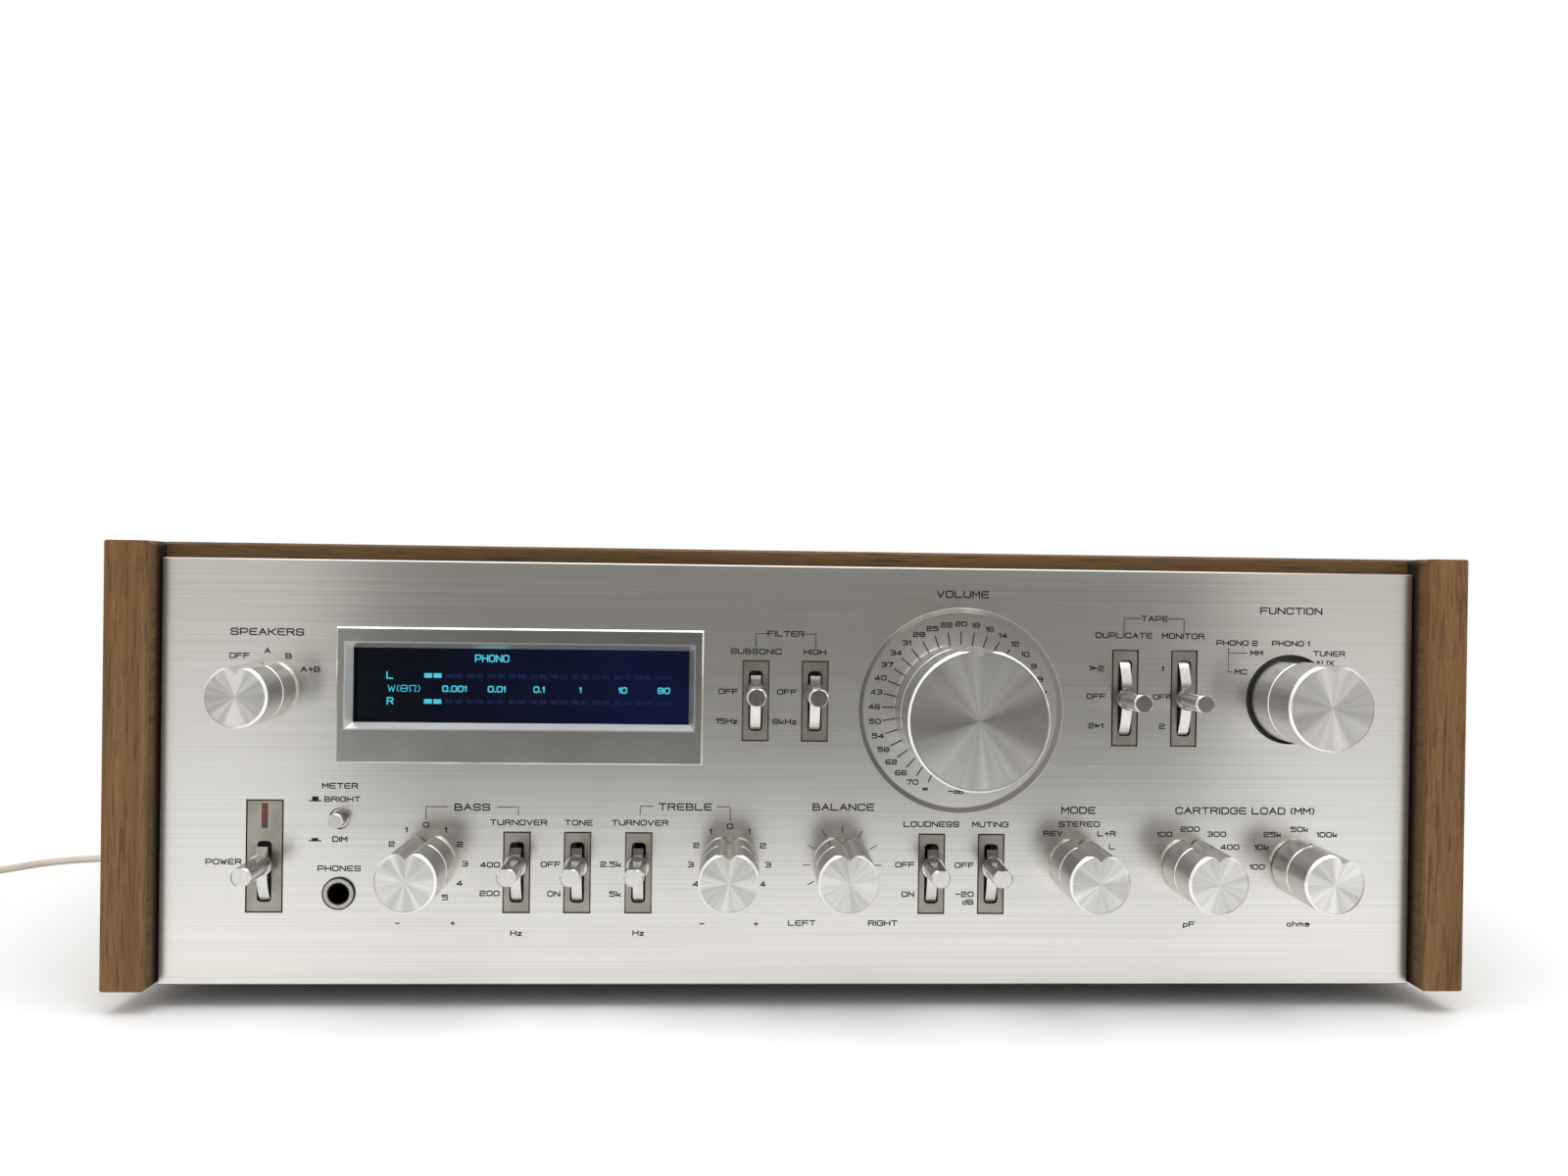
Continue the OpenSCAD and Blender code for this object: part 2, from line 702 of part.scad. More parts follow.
// Frame round the display, its flange on the faceplate and its inside sloping to the window
module meter_bezel() {
    up = window_z - meter_z;
    front = bezel_proud + line_h;
    around = 2 * (reveal + line_w);
    seat = 2 * (window_lip + fit);
    neck = 2 * (bezel_lip + fit);
    on_face(meter_x, meter_z) color("silver") difference() {
        union() {
            hull() {
                slab(bezel_w, bezel_h, -bezel_proud / 2, 0);
                slab(bezel_w - bezel_proud, bezel_h - bezel_proud, -bezel_proud, 0);
            }
            translate([0, up, 0]) slab(window_w + around, window_h + around, -front, 0);
            slab(bezel_w - neck, bezel_h - neck, -eps, face_t);
        }
        translate([0, up, 0]) {
            hull() {
                slab(window_w, window_h, window_d, window_d + eps);
                slab(window_w + 2 * reveal, window_h + 2 * reveal, -front - eps, -front);
            }
            slab(window_w, window_h, 0, face_t + 1);
            slab(window_w + seat, window_h + seat, window_d, face_t + 1);
        }
    }
}

module meter_window() on_face(meter_x, window_z) color("black")
    slab(window_w + 2 * window_lip, window_h + 2 * window_lip, window_d, window_d + window_t);

// Flat glass display with its sealed nose, standing on its board
nose_w = 8;
nose_x = window_w / 2 - 14;
module display_tube() on_face(meter_x, window_z) color("midnightblue") {
    slab(window_w, window_h, window_d + window_t + tube_gap, sub_back);
    translate([nose_x, window_h / 2, 0]) slab(nose_w, 3, sub_back - 5, sub_back - 2);
}

module display_board() on_face(meter_x, window_z) color("darkgreen") {
    chip_h = 2.8;
    socket_h = 6.4;
    slab(window_w + 12, window_h + 12, sub_back, board_back);
    for (k = [-3 : 3]) translate([k * window_w / 7.4, -window_h / 3, 0])
        slab(9, 5, board_back - eps, board_back + chip_h);
    translate([0, window_h / 2.75, 0]) slab(window_w / 1.85, 6, board_back - eps, board_back + socket_h);
}

module switch_plates() color("tan") {
    for (k = two_way) on_face(k[0], k[1]) plate(plate_w, slot_short, slot_long);
    for (k = three_way) on_face(k[0], k[1]) plate(plate_w, slot_long, slot_long);
}

module power_plate() on_face(power_x, lower_z) color("tan") difference() {
    union() {
        plate(power_plate_w, slot_short, slot_long);
        translate([0, slot_short + plate_end + power_extra / 2 - 0.5, 0]) {
            slab(power_plate_w, power_extra + 1, 0, plate_lip + eps);
            translate([0, 0.75, 0])
                slab(power_plate_w + 2 * plate_flange, power_extra + 3.5, plate_lip, plate_lip + plate_t);
        }
    }
    translate([0, lamp_up, 0]) slab(lamp_w + 2 * fit, lamp_h + 2 * fit, -1, plate_lip + plate_t + 1);
}

module power_lens() on_face(power_x, lower_z + lamp_up) color("firebrick") {
    slab(lamp_w, lamp_h, 0.2, plate_lip + plate_t + eps);
    slab(lamp_w + 3, lamp_h + 1, plate_lip + plate_t, plate_lip + plate_t + 1.2);
}

// Socket for a quarter-inch plug: ring and neck in the faceplate, barrel behind
module headphone_jack() on_face(phones_x, phones_z) color("dimgray") difference() {
    union() {
        rod(phones_ring_d, -phones_ring_h, 0);
        rod(phones_neck_d, -0.1, face_t + eps);
        rod(phones_barrel_d, face_t, phones_l);
    }
    rod(phones_bore, -phones_ring_h - 1, phones_l - 4);
}

// Sheet behind the faceplate that carries the controls, folded forward at its top and bottom edges
module front_subpanel() color("dimgray") difference() {
    translate([-base_w / 2 + slip, face_y, floor_z]) {
        translate([0, sub_d, 0]) cube([base_w - 2 * slip, sheet_t, inner_h]);
        for (z = [0, inner_h - sheet_t]) translate([0, face_t, z])
            cube([base_w - 2 * slip, sub_d - face_t + eps, sheet_t]);
    }
    for (k = small_knobs) on_face(k[0], k[1]) rod(neck_d + 2 * fit, sub_d - 1, sub_back + 1);
    on_face(function_x, upper_z) rod(neck_d + 2 * fit, sub_d - 1, sub_back + 1);
    on_face(volume_x, volume_z) rod(neck_d + 2 * fit, sub_d - 1, sub_back + 1);
    for (k = concat(two_way, three_way, [power_at])) on_face(k[0], k[1])
        slab(2 * cheek_in, arm_room, sub_d - 1, sub_back + 1);
    on_face(meter_x, window_z) slab(window_w + 1, window_h + 1, sub_d - 1, sub_back + 1);
    on_face(meter_x + nose_x, window_z + window_h / 2) slab(nose_w + 2, 6, sub_d - 1, sub_back + 1);
    on_face(phones_x, button_z) rod(button_d + 1.4, sub_d - 1, sub_back + 1);
    on_face(phones_x, phones_z) rod(phones_barrel_d + 0.4, sub_d - 1, sub_back + 1);
}

module rotary_switches() color("sienna") {
    for (k = switched) on_face(small_knobs[k][0], small_knobs[k][1]) rotary_switch();
    on_face(function_x, upper_z) rotary_switch();
}

pot_d = 24;
module tone_potentiometers() color("peru")
    for (k = stepless) on_face(small_knobs[k][0], small_knobs[k][1]) {
        control(pot_d, shaft_in + 3);
        translate([0, -pot_d / 2 - 2, 0]) slab(16, 8, sub_back + 3, sub_back + 4.6);
        for (x = [-5, 0, 5]) translate([x, -pot_d / 2 - 6, 0]) slab(1.4, 6, sub_back + 3, sub_back + 4);
    }

attenuator_d = 46;
attenuator_l = 21;
module volume_attenuator() on_face(volume_x, volume_z) color("peru") {
    front = sub_back + shaft_in + 5;
    control(attenuator_d - 6, shaft_in + 6);
    rod(attenuator_d, front, front + attenuator_l);
    translate([0, -attenuator_d / 2 - 1, 0]) slab(30, 10, front + 3, front + attenuator_l - 3);
}

// Hexagon nuts that hold the controls in the sub-panel
module control_nuts() color("silver")
    for (k = concat(small_knobs, [[function_x, upper_z], [volume_x, volume_z]])) on_face(k[0], k[1])
        difference() {
            translate([0, 0, -sub_d]) cylinder(d = neck_d + 5, h = 2.4, $fn = 6);
            rod(neck_d + 2 * fit, sub_d - 4, sub_d + 1);
        }

module lever_switches() color("darkslategray")
    for (k = concat(two_way, three_way, [power_at])) lever_switch(k);

// Latching switch behind the meter button
button_bore = button_in + button_travel + 2;
module meter_switch() on_face(phones_x, button_z) color("darkslategray") difference() {
    slab(button_d + 6, button_d + 6, sub_back, sub_back + button_bore + 4);
    rod(button_d + 2 * run_fit, sub_back - 1, sub_back + button_bore);
}

module meter_button() on_face(phones_x, button_z) color("lightgray") {
    rod(button_d + 2 * (button_gap - slip), button_collar, button_collar + 1.6);
    difference() {
        rod(button_d, -button_reach, sub_back + button_in);
        translate([0, 0, button_reach]) difference() {
            cylinder(d = button_d + 2, h = 1.2, center = true);
            translate([0, 0, -1]) cylinder(d1 = button_d + 1.2, d2 = button_d - 1.6, h = 1.7);
        }
    }
}

// Base tray with flanges at both sides, vented under the heat sinks and the transformer
module chassis_base() color("slategray") difference() {
    union() {
        translate([-base_w / 2, face_y + face_t + slip, base_z])
            cube([base_w, rear_d - face_t - slip, sheet_t]);
        for (x = [-base_w / 2, base_w / 2 - sheet_t]) translate([x, face_y + sub_back + slip, base_z])
            cube([sheet_t, rear_d - sub_back - sheet_t - 2 * slip, flange_h]);
    }
    for (x = [-foot_x, foot_x], y = foot_ys) translate([x, y, base_z - 1])
        cylinder(d = screw_d + 2 * fit, h = sheet_t + 2);
    case_holes(screw_d + 2 * fit);
    for (s = [-1, 1], k = [-3 : 3]) translate([s * vent_x + k * vent_pitch, vent_y, base_z - 1])
        linear_extrude(sheet_t + 2) rounded(vent_w, vent_l / 2, vent_w / 2 - 0.1);
}

foot_x = face_w / 2 - foot_in;
foot_ys = [face_y + face_t + foot_back, face_y + rear_d - foot_back];
vent_x = face_w / 4 + 10;
vent_y = face_y + rear_d / 2 + 20;
case_screw_z = base_z + flange_h * 0.6;
case_screw_ys = [face_y + case_screw_in, face_y + rear_d / 2, face_y + rear_d - case_screw_in];

// Holes of the screws that hold the wooden sides
module case_holes(d) for (y = case_screw_ys) translate([0, y, case_screw_z]) rotate([0, 90, 0])
    cylinder(d = d, h = 2 * side_in + 24, center = true);

// Back plate with an opening for each connector
module rear_panel() color("slategray") difference() {
    translate([-base_w / 2 + slip, face_y + rear_d - sheet_t, floor_z])
        cube([base_w - 2 * slip, sheet_t, inner_h]);
    for (k = jack_places) on_rear(k[0], k[1]) rod(jack_d + 2 * fit, -1, sheet_t + 1);
    for (x = strip_xs) on_rear(x, strip_z) slab(strip_w - 6, strip_h - 6, -1, sheet_t + 1);
    for (x = outlet_xs) on_rear(x, outlet_z) slab(outlet_w - 4, outlet_h - 4, -1, sheet_t + 1);
    on_rear(ground_x, ground_z) rod(screw_d + 2 * fit, -1, sheet_t + 1);
    on_rear(gland_x, gland_z) rod(gland_d + 2 * fit, -1, sheet_t + 1);
}

jack_x = panel_end - jack_in;
jack_places = [
    for (c = [0 : jack_columns - 1], r = [0, 1]) [jack_x - c * jack_pitch, jack_z + r * jack_pitch]
];
strip_w = terminal_pitch * terminals + 12;
strip_xs = [strip_x, strip_x - strip_apart];
outlet_xs = [for (k = [0 : 2]) outlet_x - k * outlet_pitch];
ground_x = panel_end - ground_in;
gland_x = gland_in - panel_end;

// Coaxial sockets: a flange on the panel, a barrel round an insulator with the contact's hole
module input_jacks() color("goldenrod") for (k = jack_places) on_rear(k[0], k[1]) difference() {
    union() {
        rod(jack_d + 4, -1, 0);
        rod(jack_d, -jack_reach, 7);
    }
    translate([0, 0, 0.5]) cylinder(d = jack_bore, h = jack_reach + 1);
    difference() {
        translate([0, 0, jack_reach - 4]) cylinder(d = jack_d - 1.6, h = 5);
        cylinder(d = jack_bore + 1.7, h = jack_reach - 0.6);
    }
}

// Screw strips for the two pairs of loudspeakers
terminal_xs = [for (k = [1 : terminals]) (k - (terminals + 1) / 2) * terminal_pitch];
module speaker_terminals() for (x = strip_xs) on_rear(x, strip_z) {
    color("black") difference() {
        union() {
            slab(strip_w, strip_h, -strip_t, 0);
            slab(strip_w - 6 - 2 * fit, strip_h - 6 - 2 * fit, -eps, sheet_t + 4);
            for (k = [0 : terminals]) translate([(k - terminals / 2) * terminal_pitch, 0, 0])
                slab(2, strip_h - 4, -strip_t - barrier_h, -strip_t + eps);
        }
        for (at = terminal_xs) translate([at, 0, 0]) rod(screw_d + 2 * fit, -strip_t - 1, 3);
    }
    color("silver") for (at = terminal_xs) translate([at, 0, 0]) screw(5, head_h, strip_t + fit);
}

// Round-headed screw with a slot: length below the head, height of the head, depth of its seat
module screw(length, head, seat) difference() {
    union() {
        translate([0, 0, seat - length]) cylinder(d = screw_d, h = length + eps);
        translate([0, 0, seat]) cylinder(d = 2 * screw_d, h = head);
    }
    translate([-screw_d - 1, -0.4, seat + head - 0.9]) cube([2 * screw_d + 2, 0.8, 1]);
}

module mains_outlets() color("black") for (x = outlet_xs) on_rear(x, outlet_z) difference() {
    union() {
        slab(outlet_w, outlet_h, -outlet_t, 0);
        slab(outlet_w - 4 - 2 * fit, outlet_h - 4 - 2 * fit, -eps, outlet_l);
    }
    for (s = [-1, 1]) translate([s * blade_pitch / 2, 0, 0])
        slab(blade_t + 0.5, blade_h + 1.7, -outlet_t - 1, outlet_l - outlet_end);
}

module ground_terminal() on_rear(ground_x, ground_z) color("silver") {
    washer_t = 1.6;
    screw(8, head_h + 0.6, washer_t);
    difference() {
        cylinder(d = ground_d, h = washer_t);
        translate([0, 0, -1]) cylinder(d = screw_d + 2 * fit, h = washer_t + 2);
    }
}

// Cover over the chassis inside the wooden case, open in front, behind and below, with slots in its roof
module top_cover() color("slategray") difference() {
    translate([-cover_w / 2, face_y + sub_back + slip, base_z]) {
        translate([0, 0, cover_top - sheet_t - base_z]) cube([cover_w, rear_d - sub_back - slip, sheet_t]);
        for (x = [0, cover_w - sheet_t]) translate([x, 0, 0])
            cube([sheet_t, rear_d - sub_back - slip, cover_top - base_z]);
    }
    top_slots(cover_top - sheet_t - 1, sheet_t + 2);
    case_holes(screw_d + 2 * slip);
}

// Slots over the heat sinks and the transformer
module top_slots(z, h) for (s = [-1, 1], k = [-3 : 3]) translate([s * vent_x + k * vent_pitch, vent_y, z])
    linear_extrude(h) rounded(vent_w, vent_l, vent_w / 2 - 0.1);

// Wooden side with round edges, mirrored for the other side
module wooden_side() {
    h = case_top - face_lift;
    l = case_back + side_proud;
    difference() {
        intersection() {
            translate([side_in + side_t / 2, face_y + case_back, face_lift + h / 2]) rotate([90, 0, 0])
                linear_extrude(l) rounded(side_t, h, wood_r);
            translate([side_in + side_t / 2, face_y + case_back - l / 2, face_lift - 1])
                linear_extrude(h + 2) rounded(side_t, l, wood_r);
        }
        case_holes(screw_d + 2 * fit);
    }
}

module right_side_panel() color("saddlebrown") wooden_side();
module left_side_panel() color("saddlebrown") mirror([1, 0, 0]) wooden_side();

// Wooden top between the sides, behind the faceplate's upper edge
module wooden_top() color("saddlebrown") difference() {
    l = case_back - face_t - wood_gap;
    bevel = wood_r / 2;
    translate([-side_in, face_y + face_t + wood_gap, cover_top]) rotate([90, 0, 90])
        linear_extrude(2 * side_in)
            polygon([
                [0, 0], [l, 0], [l, top_t - bevel], [l - bevel, top_t], [bevel, top_t], [0, top_t - bevel]
            ]);
    top_slots(cover_top - 1, top_t + 2);
}

// Round feet with a well for their screw, and a web above it that the screw holds
module feet() color("black") for (x = [-foot_x, foot_x], y = foot_ys) translate([x, y, 0]) difference() {
    rotate_extrude() polygon([
        [0, 0], [foot_d / 2 - 2, 0], [foot_d / 2 - 0.6, 1.4], [foot_d / 2, foot_h], [0, foot_h]
    ]);
    translate([0, 0, -1]) cylinder(d = 2 * screw_d + 4, h = foot_h - foot_web + 1);
    cylinder(d = screw_d + 2 * fit, h = foot_h + 1);
}

// Screws of the feet and of the wooden sides
module chassis_screws() color("silver") {
    for (x = [-foot_x, foot_x], y = foot_ys) translate([x, y, foot_h - foot_web])
        rotate([180, 0, 0]) screw(foot_web + 3, head_h, 0);
    for (s = [-1, 1], y = case_screw_ys) translate([s * (base_w / 2 - sheet_t), y, case_screw_z])
        rotate([0, -90 * s, 0]) screw(14, head_h, 0);
}

// Laminated core between two wound covers, on the base
module at_bolts() for (x = [-1, 1], z = [bolt_in, core_h - bolt_in])
    translate([x * (core_w / 2 - bolt_in), 0, z]) rotate([90, 0, 0]) children();

module power_transformer() translate([transformer_x, face_y + transformer_d, floor_z]) {
    color("dimgray") difference() {
        translate([-core_w / 2, -core_t / 2, 0]) cube([core_w, core_t, core_h]);
        at_bolts() cylinder(d = bolt_d + 2 * fit, h = core_t + 2, center = true);
    }
    color("black") for (s = [-1, 1]) translate([0, s * (core_t + winding_t) / 2, core_h / 2])
        rotate([90, 0, 0]) linear_extrude(winding_t, center = true)
            rounded(core_w - 2 * winding_in, core_h - 2 * winding_in, winding_r);
    color("silver") at_bolts() {
        cylinder(d = bolt_d, h = core_t + 3 * nut_h, center = true);
        for (s = [-1, 1]) translate([0, 0, s * (core_t + nut_h) / 2])
            cylinder(d = 1.8 * bolt_d, h = nut_h, center = true, $fn = 6);
    }
}

can_pitch = can_d + can_gap;
can_roll = 2;
module filter_capacitors() for (i = [0, 1], j = [0, 1])
    translate([capacitor_x + i * can_pitch, face_y + capacitor_d + j * can_pitch, floor_z]) color("navy") {
        rotate_extrude() polygon([
            [0, 0], [can_d / 2, 0], [can_d / 2, can_h - 1.5 * can_roll], [can_d / 2 - can_roll, can_h],
            [can_d / 2 - 2 * can_roll, can_h], [can_d / 2 - 2 * can_roll, can_h - can_roll],
            [0, can_h - can_roll]
        ]);
        for (s = [-1, 1]) translate([s * can_stud_pitch / 2, 0, can_h - can_roll - eps])
            cylinder(d = can_stud_d, h = can_stud_h);
    }

// Finned heat sinks facing each other, each with its transistors on the outside
sink_x = side_in - sink_in - sink_apart / 2;
module heat_sinks() color("black") for (s = [-1, 1])
    translate([sink_x + s * sink_apart / 2, face_y + sink_d - sink_l / 2, floor_z]) {
        translate([s > 0 ? -sink_t : 0, 0, 0]) cube([sink_t, sink_l, sink_h]);
        for (k = [0 : fins - 1])
            translate([s > 0 ? -sink_t - fin_l : sink_t - eps, 0, k * (sink_h - fin_t) / (fins - 1)])
                cube([fin_l + eps, sink_l, fin_t]);
    }

// As many transistors as fit along a heat sink
last_transistor = floor((sink_l - flange_l) / transistor_pitch);
transistor_ds = [for (k = [0 : last_transistor]) sink_d + (k - last_transistor / 2) * transistor_pitch];
module output_transistors() color("silver") for (s = [-1, 1], d = transistor_ds)
    translate([sink_x + s * sink_apart / 2, face_y + d, floor_z + sink_h / 2])
        rotate([0, 90 * s, 0]) {
            linear_extrude(flange_t) rounded(flange_w, flange_l, flange_w / 2 - 1);
            cylinder(d = cap_d, h = cap_h);
        }

// Boards on spacers: the driver board by the heat sinks, the tone board behind the controls and the phono
// board behind the heat sinks. Each has its middle across, its width, its front and its rear edge
tone_back = min(transformer_d - core_t / 2 - winding_t, capacitor_d - can_d / 2) - board_gap - 4;
boards = [
    [40, 90, controls_back + 2.7, 130], [-95, 140, 65, tone_back],
    [60, 170, sink_d + sink_l / 2 + board_gap, rear_d - board_gap - 4]
];
module circuit_boards() for (b = boards) let (w = b[1], l = b[3] - b[2])
    translate([b[0], face_y + (b[2] + b[3]) / 2, floor_z]) {
        color("darkgreen") translate([-w / 2, -l / 2, spacer_h]) cube([w, l, board_t]);
        color("silver") for (x = [-1, 1], y = [-1, 1])
            translate([x * (w / 2 - spacer_in), y * (l / 2 - spacer_in), 0])
                cylinder(d = spacer_d, h = spacer_h);
        color("black") for (x = [-0.25, 0.05, 0.3], y = [-0.2, 0.2])
            translate([x * w, y * l, spacer_h + board_t]) cylinder(d = 0.2 * l, h = board_part_h);
    }

module speakers_knob() small_knob(0);
module bass_knob() small_knob(1);
module treble_knob() small_knob(2);
module balance_knob() small_knob(3);
module mode_knob() small_knob(4);
module capacitance_knob() small_knob(5);
module resistance_knob() small_knob(6);
module function_knob() on_face(function_x, upper_z) {
    color("silver") knob(function_d, 1, function_reach);
    color("gray") shaft(function_reach);
}
module volume_knob() on_face(volume_x, volume_z) {
    color("silver") knob(volume_d, dial_depth - knob_gap, volume_reach);
    color("gray") shaft(volume_reach);
}
module bass_turnover_lever() lever(two_way[0], rim_short);
module tone_lever() lever(two_way[1], rim_short);
module treble_turnover_lever() lever(two_way[2], rim_short);
module loudness_lever() lever(two_way[3], rim_short);
module muting_lever() lever(two_way[4], rim_short);
module subsonic_lever() lever(two_way[5], rim_short);
module high_filter_lever() lever(two_way[6], rim_short);
module tape_duplicate_lever() lever(three_way[0], rim_long);
module tape_monitor_lever() lever(three_way[1], rim_long);
module power_lever() lever(power_at, rim_short);

// Route of the lead, from the gland over the floor to the coil, in the part's frame
lead_r = lead_d / 2;
gland_end = [gland_x, face_y + rear_d + gland_l, gland_z];
lead_z = lead_r + 0.1;
coil_at = [-side_out - 156.5, -62];
coil_from = 135;
coil_z = tie_t + 0.2 + lead_r;
coil_heading = [-sin(coil_from), cos(coil_from)];
coil_start = coil_at + coil_r * [cos(coil_from), sin(coil_from)] - lead_d * coil_heading;
// Lead on the floor beside the case: distance from the wooden side, place along it
floor_run = [
    [39.5, 220], [43.5, 190], [40.5, 155], [36.5, 120], [36.5, 85], [44.5, 58], [62.5, 43], [86.5, 36],
    [111.5, 32], [129.5, 24], [143.5, 8], [158.5, -8]
];
lead_points = [
    gland_end, gland_end + [0, 8, 0], gland_end + [-1, 16.75, -8], gland_end + [-8, 32.75, -23],
    [gland_x - 23, gland_end[1] + 41.75, lead_z + 1], [gland_x - 43, gland_end[1] + 40.75, lead_z],
    [gland_x - 65, gland_end[1] + 28.75, lead_z],
    for (p = floor_run) [-side_out - p[0], p[1], lead_z],
    concat(coil_start - 10 * coil_heading, coil_z - 0.3), concat(coil_start, coil_z)
];

// Point of a smooth curve through four points of the route, between the middle two
function smooth(a, b, c, d, t) =
    0.5 * (2 * b + (c - a) * t + (2 * a - 5 * b + 4 * c - d) * t * t + (3 * b - a - 3 * c + d) * t * t * t);
function route(points, steps) = let (n = len(points)) concat(
    [for (i = [0 : n - 2], k = [0 : steps - 1])
        smooth(points[max(i - 1, 0)], points[i], points[i + 1], points[min(i + 2, n - 1)], k / steps)],
    [points[n - 1]]
);

function unit(v) = v / norm(v);
function heading(p, i) = unit(p[min(i + 1, len(p) - 1)] - p[max(i - 1, 0)]);

// Tube along a line of points, its rings upright
module tube(p, r, sides) {
    n = len(p);
    rings = [for (i = [0 : n - 1]) let (
        ahead = heading(p, i), across = unit(cross(ahead, [0, 0, 1])), up = cross(across, ahead)
    ) for (k = [0 : sides - 1]) p[i] + r * (cos(360 * k / sides) * across + sin(360 * k / sides) * up)];
    walls = [for (i = [0 : n - 2], k = [0 : sides - 1])
        let (a = i * sides + k, b = i * sides + (k + 1) % sides)
        each [[a, b, a + sides], [b, b + sides, a + sides]]];
    ends = [for (k = [1 : sides - 2]) each [
        [0, k + 1, k], [(n - 1) * sides, (n - 1) * sides + k, (n - 1) * sides + k + 1]
    ]];
    polyhedron(rings, concat(walls, ends));
}

// Coil: spirals in on the lower layer, climbs where it turns back, and spirals out on the upper one
coil_steps = 24;
coil_sweep = 2 * coil_turns;
function rise(t) = t < 0 ? 0 : t > 1 ? 1 : t * t * (3 - 2 * t);
function coil_point(turn) = let (
    from_middle = turn - coil_turns,
    r = coil_r - coil_pitch * (coil_turns - sqrt(from_middle * from_middle + 0.01)),
    a = coil_from + 360 * turn
) [coil_at[0] + r * cos(a), coil_at[1] + r * sin(a), coil_z + coil_gap * rise(2 * from_middle + 0.5)];
coil_line = [for (k = [0 : round(coil_steps * coil_sweep)]) coil_point(k / coil_steps)];
coil_end = coil_line[len(coil_line) - 1];
coil_out = unit(coil_end - coil_line[len(coil_line) - 2]);
plug_way = unit([coil_out[0], coil_out[1], 0]);
// The lead runs on straight until the plug's side clears the coil
plug_at = coil_end + plug_way * plug_tail;
coil_path = concat([concat(coil_start, coil_z)], coil_line, [coil_end + plug_way * plug_tail / 2, plug_at]);

// Least gap between turns of the coil, from its points a quarter turn or more apart
coil_clear = min([for (i = [0 : len(coil_line) - 1], j = [i + coil_steps / 4 : 1 : len(coil_line) - 1])
    norm(coil_line[i] - coil_line[j])]) - lead_d;
echo(coil_least_gap = coil_clear);

gland_flange = 2.5;
module strain_relief() on_rear(gland_x, gland_z) color("black") {
    rod(gland_d, -eps, sheet_t + 4);
    rod(gland_d + 5, -gland_flange, 0);
    translate([0, 0, gland_flange - eps])
        cylinder(d1 = gland_d, d2 = lead_d + 2, h = gland_l - gland_flange + eps);
}

module mains_lead() color("wheat") tube(route(lead_points, 3), lead_r, 8);
module mains_lead_coil() color("wheat") tube(coil_path, lead_r, 6);

// Moulded plug with two flat blades, lying on the floor
module mains_plug() translate(plug_at) rotate(atan2(plug_way[1], plug_way[0])) {
    color("wheat") rotate([90, 0, 90]) linear_extrude(plug_l) rounded(plug_w, 2 * plug_at[2] - 0.2, 3);
    color("silver") for (s = [-1, 1]) translate([plug_l - eps, (s * blade_pitch - blade_t) / 2, -blade_h / 2])
        cube([blade_l, blade_t, blade_h]);
}

// Strap round the coil's bundle of turns
tie_turn = 250;
module lead_tie() {
    inside = coil_pitch * coil_turns + lead_d + 1;
    tall = coil_gap + lead_d + 0.4;
    translate([coil_at[0], coil_at[1], coil_z + coil_gap / 2]) rotate(coil_from + tie_turn)
        translate([coil_r - coil_pitch * coil_turns / 2, 0, 0]) rotate([90, 0, 0]) color("dimgray")
            linear_extrude(tie_w, center = true) difference() {
                rounded(inside + 2 * tie_t, tall + 2 * tie_t, 1.6);
                rounded(inside, tall, 1);
            }
}

faceplate();
volume_dial();
meter_bezel();
meter_window();
display_tube();
display_board();
switch_plates();
power_plate();
power_lens();
headphone_jack();
front_subpanel();
rotary_switches();
tone_potentiometers();
volume_attenuator();
control_nuts();
lever_switches();
meter_switch();
chassis_base();
rear_panel();
top_cover();
left_side_panel();
right_side_panel();
wooden_top();
feet();
chassis_screws();
power_transformer();
filter_capacitors();
heat_sinks();
output_transistors();
circuit_boards();
input_jacks();
speaker_terminals();
mains_outlets();
ground_terminal();
strain_relief();
mains_lead();
mains_lead_coil();
mains_plug();
lead_tie();
speakers_knob();
bass_knob();
treble_knob();
balance_knob();
mode_knob();
capacitance_knob();
resistance_knob();
function_knob();
volume_knob();
power_lever();
bass_turnover_lever();
tone_lever();
treble_turnover_lever();
loudness_lever();
muting_lever();
subsonic_lever();
high_filter_lever();
tape_duplicate_lever();
tape_monitor_lever();
meter_button();
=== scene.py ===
"""Looks of a stereo amplifier: brushed faceplate, turned knobs, lit meter and walnut case."""

import math

import bpy
from mathutils import Matrix, Vector


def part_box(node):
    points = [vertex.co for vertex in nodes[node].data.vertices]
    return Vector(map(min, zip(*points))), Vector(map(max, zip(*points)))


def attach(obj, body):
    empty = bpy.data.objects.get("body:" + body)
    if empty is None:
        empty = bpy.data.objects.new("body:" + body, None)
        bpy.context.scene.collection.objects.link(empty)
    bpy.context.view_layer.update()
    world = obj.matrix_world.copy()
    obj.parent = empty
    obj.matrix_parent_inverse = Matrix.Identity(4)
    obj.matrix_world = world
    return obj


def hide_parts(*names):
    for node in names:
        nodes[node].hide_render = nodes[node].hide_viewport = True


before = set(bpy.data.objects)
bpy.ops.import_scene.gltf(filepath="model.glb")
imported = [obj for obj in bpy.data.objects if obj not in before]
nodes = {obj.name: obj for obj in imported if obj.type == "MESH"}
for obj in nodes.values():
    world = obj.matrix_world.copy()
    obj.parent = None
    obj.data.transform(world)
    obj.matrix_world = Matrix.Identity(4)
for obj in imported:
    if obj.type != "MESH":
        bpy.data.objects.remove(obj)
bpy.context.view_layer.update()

# Studio
# The amplifier stands on a white table in a white room, under a large soft lamp. A low dark card in front of
# it and a pale wall behind the camera show only in the metal, which takes its contrast from them.
mm = 0.001
scene = bpy.context.scene
scene.view_settings.view_transform = "Standard"
bpy.ops.object.select_all(action="DESELECT")
camera_turn = [math.radians(angle) for angle in (89.761, -0.782, -2.383)]
bpy.ops.object.camera_add(location=(-0.0222, -0.5643, 0.1427), rotation=camera_turn)
